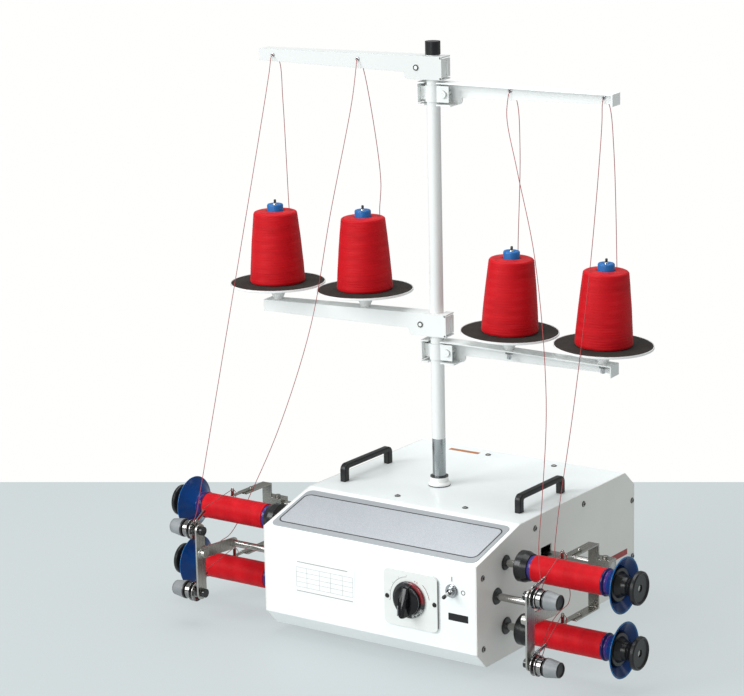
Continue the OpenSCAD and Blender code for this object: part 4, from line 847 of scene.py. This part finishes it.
def package_wave(phase):
    """Turns as shallow ridges, a little fuller in places."""
    def wave(r, h, a):
        if r < 14.1:
            return 0
        d = 0.085 * sin(TURN * h / 1.7 + a + phase)
        d += 0.1 * noise.noise(Vector((h * 0.8, phase * 3, 0)))
        at = Vector((cos(a) * 0.9 + phase, sin(a) * 0.9, h / 9))
        return d + 0.1 * noise.noise(at)

    return wave


def make_spools():
    for level, z in SPINDLE_Z.items():
        for side, sg in SIDES.items():
            # the local z runs outwards from the casing's middle plane
            m = to(0, SPINDLE_Y, z, 90 * sg, "Y")
            tag, body = f"{level}_{side}", level + "_spindle"
            turned("spool_tube_" + tag, SPOOL_TUBE, 96, "spool", body, "foot_navy",
                   [level + "_spool_tubes"], m)
            turned("package_thread_" + tag, PACKAGE, 80, "package", body, "thread_red",
                   [level + "_packages"], m,
                   package_wave(PACKAGE_PHASE[level] + PACKAGE_PHASE[side]))


make_spools()


# Handles
HANDLE_X, HANDLE_Y = 116.5, 119


def make_handles():
    length, height, width, bar = 94.5, 20.5, 8, 6
    outer = rounded([(0, 0), (length, 0), (length, height), (0, height)], [0, 0, 7.5, 7.5], 7)
    far, under = length - width, height - bar
    inner = rounded([(width, 0), (far, 0), (far, under), (width, under)], [0, 0, 2, 2], 4)
    # one bent outline: up and down along the inside, then back over the outside
    outline = outer[:1] + inner[:1] + inner[:0:-1] + outer[1:]
    for side, sg in SIDES.items():
        bm = bmesh.new()
        extrude(bm, verts(bm, [(0, x, z) for x, z in outline]), (width, 0, 0))
        bmesh.ops.recalc_face_normals(bm, faces=bm.faces)
        rim = dict.fromkeys(e for f in bm.faces if len(f.verts) > 8 for e in f.edges)
        bmesh.ops.bevel(bm, geom=list(rim), offset=0.0016, segments=4, profile=0.55,
                        affect="EDGES")
        sharpen(add("handle_" + side, bm, "handle", "base", "black_plastic", ["carry_handles"],
                    to(sg * HANDLE_X - width / 2, HANDLE_Y, CASING_H)), 40)


make_handles()


# Screws
TOP_SCREWS = [(-0.114, 0.316), (0.204, 0.319), (-0.123, 0.888), (0.198, 0.888)]
SIDE_SCREWS = [(0.035, 0.72), (0.036, 0.155), (0.351, 0.909), (0.659, 0.913), (0.985, 0.739),
               (0.988, 0.259)]
DIAL_SCREW_GAP = 61
CLAMP_SCREW, CLAMP_NUT = (15, -5.8, -12.75), (15, 11.5, -12.75)
EYELET_Y, EYELET_Z = 11.5, -6.4
EYELET = [(0.85, -0.95), (1.5, -1), (2.2, -0.9), (2.4, -0.5), (2.35, 0), (1.65, 0.05),
          (1.65, 1.45), (2.35, 1.5), (2.4, 2), (2.2, 2.4), (1.5, 2.5), (0.85, 2.45)]


def screw_head(bm, place, r=3.4, h=1.7):
    """Pan head on the local z = 0 plane; its rim and cross recess take the second material, a dark
    steel that paints shade there.
    """
    segs, rings, reach, slot = 40, 9, 0.62 * r, 0.62
    before = None
    for i in range(rings + 1):
        rr = r * (1 - i / rings)
        ring = []
        for a in circle(segs) if i < rings else [0]:
            x, y = rr * cos(a), rr * sin(a)
            z = h * sqrt(1 - (1 - i / rings) ** 2.6)
            if i == rings:
                z -= 0.75
            elif rr < reach:
                z -= 0.8 * min(1, max(0, (slot - min(abs(x), abs(y))) / 0.22))
            ring.append((x, y, z))
        ring = verts(bm, ring, place)
        if before:
            for k, f in enumerate(join(bm, before, ring)):
                a = TURN * (k + 0.5) / segs
                low = rr < reach and rr * min(abs(cos(a)), abs(sin(a))) < 0.5
                # painted shade: the outermost band and the cross recess take the dark second material
                f.material_index = 1 if i == 1 or low else 0
        before = ring


def facing(point, normal, spin=0):
    """Matrix whose local z is the given normal at a point."""
    q = Vector(normal).normalized().to_track_quat("Z", "Y").to_matrix().to_4x4()
    return Matrix.Translation(point) @ q @ Matrix.Rotation(spin, 4, "Z")


def insert_nut(bm, place):
    """A dark ring with a light centre."""
    for slot, r, depth, z in ((1, 3.6, 0.7, 0.35), (2, 2.3, 0.5, 0.6)):
        got = bmesh.ops.create_cone(bm, cap_ends=True, segments=40, radius1=r * MM,
                                    radius2=(r - 0.3) * MM, depth=depth * MM,
                                    matrix=place @ by(0, 0, z))
        for f in {f for v in got["verts"] for f in v.link_faces}:
            f.material_index = slot


def make_screws():
    rnd = random.Random(4)

    def spin():
        return rnd.uniform(0, 1.5)

    def heads(name, bm, mat, slot):
        add(name, bm, mat, "base", slot, ["casing_screws"]).data.materials.append(M["painted_screw_shade_and_dark_nut"])

    bm = bmesh.new()
    for x, y in TOP_SCREWS:
        screw_head(bm, facing(C(x * CASING_W, y * CASING_D, CASING_H), (0, 0, 1), spin()))
    for sg in SIDES.values():
        for y, z in SIDE_SCREWS:
            at = C(sg * CASING_W / 2, y * CASING_D, z * CASING_H)
            screw_head(bm, facing(at, (sg, 0, 0), spin()))
    heads("casing_screw_heads", bm, "screw", "steel_plain")
    bm = bmesh.new()
    for sg in SIDES.values():
        at = C(DIAL_X + 1.5 + sg * DIAL_SCREW_GAP / 2, -2.5, DIAL_Z - 0.5)
        screw_head(bm, facing(at, (0, -1, 0), spin()), 2.7, 1.4)
    heads("dial_screw_heads", bm, "black", "black_plastic")
    for level, table, group in (("lower", LOWER, "tray_arm_"), ("upper", UPPER, "thread_arm_")):
        for side in SIDES:
            direction, top, sag = table[side]
            m = to(MAST_X, MAST_Y, top, direction)
            out = m.to_3x3() @ Vector((0, -1, 0))
            bm = bmesh.new()
            screw_head(bm, facing(m @ (Vector(CLAMP_SCREW) * MM), out, spin()), 4, 2.55)
            insert_nut(bm, facing(m @ (Vector(CLAMP_NUT) * MM), -out))
            o = add(f"{level}_clamp_screw_{side}", bm, "screw", group + side, "steel_plain")
            o.data.materials.append(M["painted_screw_shade_and_dark_nut"])
            o.data.materials.append(M["arm"])
            sharpen(o, 40)
            for i, x in enumerate(EYELET_X if level == "upper" else ()):
                at = m @ (Vector((x, EYELET_Y, EYELET_Z - drop(x, sag))) * MM)
                turned(f"eyelet_{side}_{i + 1}", EYELET, 32, "chrome", group + side,
                       "chrome_bright", (), facing(at, out))


make_screws()


# Controls and labels
PRINT = 0.05  # how far print stands up
KNOB = ("speed_dial", "black_plastic", ["speed_knob"])
SKIRT = [(3.05, 0), (19.6, 0), (20.3, 0.4), (20.5, 1), (20.4, 2), (19.8, 2.7),
         (18.8, 3), (3.05, 3)]
KNOB_BODY = [(0, 2.9), (16.4, 2.9), (16.2, 4.6), (15.6, 6.6), (14.9, 7.1), (0, 7.4)]
GRIP = [(-17.2, -4.4), (-6, -5.6), (6, -5.4), (17, -3.6), (18.4, -1.6), (18.4, 1.6),
        (17, 3.6), (6, 5.4), (-6, 5.6), (-17.2, 4.4), (-18, 0)]


def front(x=0, z=0, y=0):
    """Matrix on the casing's front: local x to the right, local y up, local z to the user."""
    return to(x, y, z, 90, "X")


def arcs(name, mat, place, items, t=PRINT, body="base", slot="plate_cream", n=28):
    """Raised arcs [radius, width, start, end] in degrees on a face."""
    bm = bmesh.new()
    for r, w, a0, a1 in items:
        rings = []
        for i in range(n + 1):
            a = radians(a0 + (a1 - a0) * i / n)
            cut = ((r - w / 2, 0), (r - w / 2, t), (r + w / 2, t), (r + w / 2, 0))
            rings.append(verts(bm, [(q * cos(a), q * sin(a), h) for q, h in cut], place))
        sweep(bm, rings)
    add(name, bm, mat, body, slot)


def box(bm, lo, hi, place=Matrix()):
    """Box between two corners in mm, put in place by a matrix."""
    lo, hi = Vector(lo) * MM, Vector(hi) * MM
    size = Matrix.Diagonal((*(hi - lo), 1))
    bmesh.ops.create_cube(bm, size=1, matrix=place @ Matrix.Translation((lo + hi) / 2) @ size)


def bars(name, mat, items, place, t):
    """Printed bars [x, y, length, width, degrees] on a face."""
    bm = bmesh.new()
    for x, y, length, width, deg in items:
        box(bm, (-length / 2, -width / 2, 0), (length / 2, width / 2, t), place @ by(x, y, 0, deg))
    add(name, bm, mat, "base", "plate_cream", smooth=False)


def slab(name, mat, outline, t, place, slot="plate_cream"):
    """Flat plate with a 2-D outline, t thick along the local z."""
    bm = bmesh.new()
    extrude(bm, verts(bm, [(x, y, 0) for x, y in outline]), (0, 0, t))
    bmesh.ops.transform(bm, matrix=place, verts=bm.verts)
    add(name, bm, mat, "base", slot, smooth=False)


def rect(x0, y0, x1, y1, r):
    return rounded([(x0, y0), (x1, y0), (x1, y1), (x0, y1)], r, 4)


def make_knob():
    place = front(DIAL_X, DIAL_Z, -2.75)
    turned("speed_knob_skirt", SKIRT, 96, "skirt", *KNOB, place)
    sharpen(turned("speed_knob_body", KNOB_BODY, 80, "black_gloss", *KNOB, place), 35)
    # grip bar: its pointer end is towards the local +x, its back end slopes down to the body
    grip = place @ by(0, 0, 0, -92)
    bm = bmesh.new()
    for v in extrude(bm, verts(bm, [(x, y, 3.1) for x, y in rounded(GRIP, 1, 3)])):
        along = (v.co.x / MM + 18) / 36.4
        v.co.z = (8.6 + 8.3 * min(1, along * 2.2)) * MM
        v.co.x *= 0.93
        v.co.y *= 0.86
    bmesh.ops.recalc_face_normals(bm, faces=bm.faces)
    rim = [e for f in bm.faces if len(f.verts) > 8 and f.calc_center_median().z > 0.008
           for e in f.edges]
    bmesh.ops.bevel(bm, geom=rim, offset=0.0021, segments=3, profile=0.5, affect="EDGES")
    sharpen(add("speed_knob_pointer", bm, "black_gloss", *KNOB, grip), 30)
    # painted highlights: thin grey strips on the body's rim and along the grip bar's top edge
    arcs("speed_knob_rim_painted_highlight", "knob_painted_highlight", place @ by(0, 0, 6.2), [(15.9, 0.35, -75, 78)],
         0.12, "speed_dial", "black_plastic", 40)
    bm = bmesh.new()
    box(bm, (3.5, -5, 15), (15, -3.6, 16.15))
    bmesh.ops.bevel(bm, geom=bm.edges[:], offset=0.0004, segments=2, profile=0.6, affect="EDGES")
    add("speed_knob_bar_painted_highlight", bm, "knob_painted_highlight", "speed_dial", "black_plastic", (), grip, smooth=False)


def make_labels():
    dial, face, low = front(DIAL_X, DIAL_Z, -2.5), front(), front(0, 0, -0.08)
    arcs("dial_scale_grey", "ink_grey", dial, [(25, 0.45, 98, 190)])
    arcs("dial_scale_red", "ink_red", dial,
         [(25.6, 0.55, 8, 48), (22.6, 0.9, 62, 66), (22.6, 0.9, 70, 73)])
    ticks = [(26.4 * cos(radians(a)), 26.4 * sin(radians(a)), 1.7, 0.45, a)
             for a in range(98, 191, 23)]
    bars("dial_ticks", "ink_grey", ticks, dial, PRINT)
    # on and off marks by the toggle
    bars("switch_mark_on", "ink", [(109, 98, 5.2, 1, 90)], face, 0.06)
    arcs("switch_mark_off", "ink", front(123, 85), [(2.3, 0.8, 0, 360)], 0.06, n=32)
    # plain labels; the front one carries rules instead of words
    slab("label_plate_black", "label_black", rect(104, 52, 129, 60, 0.5), 0.12, face)
    slab("label_plate_front", "label_white", rect(-99, 46, -17.5, 86, 1), 0.08, face)
    rules = [(-58.2, z, 76, 0.35, 0) for z in (54, 59.6, 65.2, 70.8, 76.4)]
    rules += [(x, 65.2, 22.4, 0.35, 90) for x in (-96.2, -82, -65, -50, -34, -20.2)]
    bars("label_rules", "ink_pale", rules, low, 0.04)
    bars("label_bars", "ink_grey", [(-61, 82.6, 68, 0.9, 0), (-58.2, 49.2, 76, 0.9, 0)], low, 0.04)
    right = to(CASING_W / 2, 0, 0, 90) @ by(0, 0, 0, 90, "X")
    slab("label_strip_red", "label_red", rect(279, 42, 318, 49, 0.4), 0.1, right)
    slab("label_strip_top", "label_amber", rect(-88, 293, -47, 300, 0.4), 0.1, to(0, 0, CASING_H))


def make_nameplate():
    """The raised panel on the nameplate, and the dark line round it."""
    slope = degrees(atan2(CASING_H - SLOPE_Z, SLOPE_D))
    place = to(0, 0, SLOPE_Z, slope, "X") @ by(0, 0, 0.8)
    outer = rounded([(-130.8, 12.6), (130.6, 13), (130.8, 75), (-131.4, 73.4)], 8.5, 8)
    inner = rounded([(-129.2, 14.2), (129, 14.6), (129.2, 73.4), (-129.8, 71.8)], 6.9, 8)
    bm = bmesh.new()
    loops = [verts(bm, [(x, y, z) for x, y in outline], place)
             for outline, z in ((outer, 0), (outer, 0.1), (inner, 0.1), (inner, 0))]
    for a, b in zip(loops, loops[1:] + loops[:1]):
        join(bm, a, b)
    add("nameplate_line", bm, "ink", "base", "plate_silver", smooth=False)
    slab("nameplate_panel", "foil", inner, 0.06, place, "plate_silver")


make_knob()
make_labels()
make_nameplate()


# The frame's own nodes
DRESS = {
    "casing": "casing_cover",
    "side": "side_panel_left side_panel_right",
    "pan": "base_pan",
    "band": "nameplate",
    "dial": "dial_plate",
    "chrome": "toggle_switch",
    "rod": "upper_shaft lower_shaft tension_rod traverse_rod",
    "post": "mast_post",
    "arm": "mast_tube lower_arm_left lower_arm_right "
        "lower_clamp_left lower_clamp_right upper_clamp_left upper_clamp_right",
    "arm_painted_shade": "upper_arm_left",
    "arm_painted_light": "upper_arm_right",
    "tray": "trays_left trays_right",
    "sheet": "traverse_brackets traverse_fingers",
    "plate": "tension_brackets",
    "black": "upper_spool_holders lower_spool_holders mast_cap power_inlet",
    "rubber": "rubber_feet",
    "belt": "drive_belts",
    "dark_steel": "motor_rotor cam_drum",
    "motor": "motor_body",
    "board": "control_board",
    "knob_end": "tension_knob_upper_left tension_knob_upper_right tension_knob_lower_left "
        "tension_knob_lower_right",
    "collar": "mast_collar",
    "bush": "bearings",
    "discs": "tension_discs",
    "lever": "toggle_lever",
}
for key, names in DRESS.items():
    for node in names.split():
        if not NODES[node].material_slots:
            NODES[node].data.materials.append(None)
        for place in NODES[node].material_slots:
            place.link = "OBJECT"
            place.material = M[key]


# Floor, world and lights
def make_floor():
    """Bluish floor whose far edge is the photo's horizon line."""
    width, depth, n = 8, 5, 12
    eye = CAMERA.translation

    def hit(px):
        """Where the ray through the horizon's pixel at px meets the floor's height."""
        ray = CAMERA.to_3x3() @ Vector(((px - PHOTO_W / 2) / FOCAL_PX,
                                        (PHOTO_H / 2 - HORIZON_PX) / FOCAL_PX, -1))
        return eye - ray * (eye.z / ray.z)

    a, b = hit(0), hit(PHOTO_W)
    along = (b - a).normalized()
    toward = along.cross(Vector((0, 0, 1)))  # from the far edge to the camera
    corner = (a + b) / 2 - along * width / 2 + Vector((0, 0, -0.00005))
    bm = bmesh.new()
    rows = [[bm.verts.new(corner + along * (width * i / n) + toward * (depth * j / n))
             for i in range(n + 1)] for j in range(n + 1)]
    for p, q in zip(rows, rows[1:]):
        for i in range(n):
            bm.faces.new((p[i], p[i + 1], q[i + 1], q[i]))
    k = Mat("floor_paint")
    cloud = k.fine(1.3)
    base = k.over((0.135, 0.147, 0.15), (0.128, 0.141, 0.144), cloud)
    k.done(base, k.spread(cloud, 0.55, 0.65), specular=0.2)
    feed(k.b, {"Emission Color": (0.62, 0.675, 0.685, 1), "Emission Strength": 0.72})
    mesh_object("floor", bm, k.m, smooth=False)


def make_world():
    """Soft light from all round, seen by the camera as a nearly white wall."""
    view = bpy.context.scene.view_settings
    view.view_transform, view.look, view.exposure, view.gamma = "Standard", "None", 0, 1
    world = bpy.data.worlds.new("studio")
    bpy.context.scene.world = world
    world.use_nodes = True
    nodes = world.node_tree.nodes
    light = nodes["Background"]
    seen, path, mix = (nodes.new("ShaderNode" + kind)
                       for kind in ("Background", "LightPath", "MixShader"))
    feed(light, {"Color": (0.97, 1, 0.985, 1), "Strength": 0.39})
    feed(seen, {"Color": (1, 1, 0.99, 1), "Strength": 1})
    feed(mix, {0: path.outputs["Is Camera Ray"], 1: light.outputs[0], 2: seen.outputs[0]})
    feed(nodes["World Output"], {"Surface": mix.outputs[0]})


def area(name, pos, size, power, color, look=(0, 0, 0.25)):
    """Rectangular light, in metres and watts."""
    data = bpy.data.lights.new(name, "AREA")
    data.shape = "RECTANGLE"
    data.size, data.size_y = size
    data.energy = power
    data.color = color
    lamp = new_object(name, data)
    lamp.location = pos
    lamp.rotation_mode = "QUATERNION"
    lamp.rotation_quaternion = (Vector(pos) - Vector(look)).to_track_quat("Z", "Y")


make_floor()
make_world()
area("key", (-2, -3.2, 2), (2, 2), 120, (0.98, 0.995, 1))
area("top", (-0.2, 0.1, 2.6), (2.4, 2), 55, (0.97, 0.99, 1))
area("fill", (0.35, -2.6, 1), (0.9, 0.9), 19, (0.99, 1, 1), (0.15, 0, 0.5))
area("rim", (1.9, 1.6, 1), (0.5, 1.4), 3, (1, 0.98, 0.95))
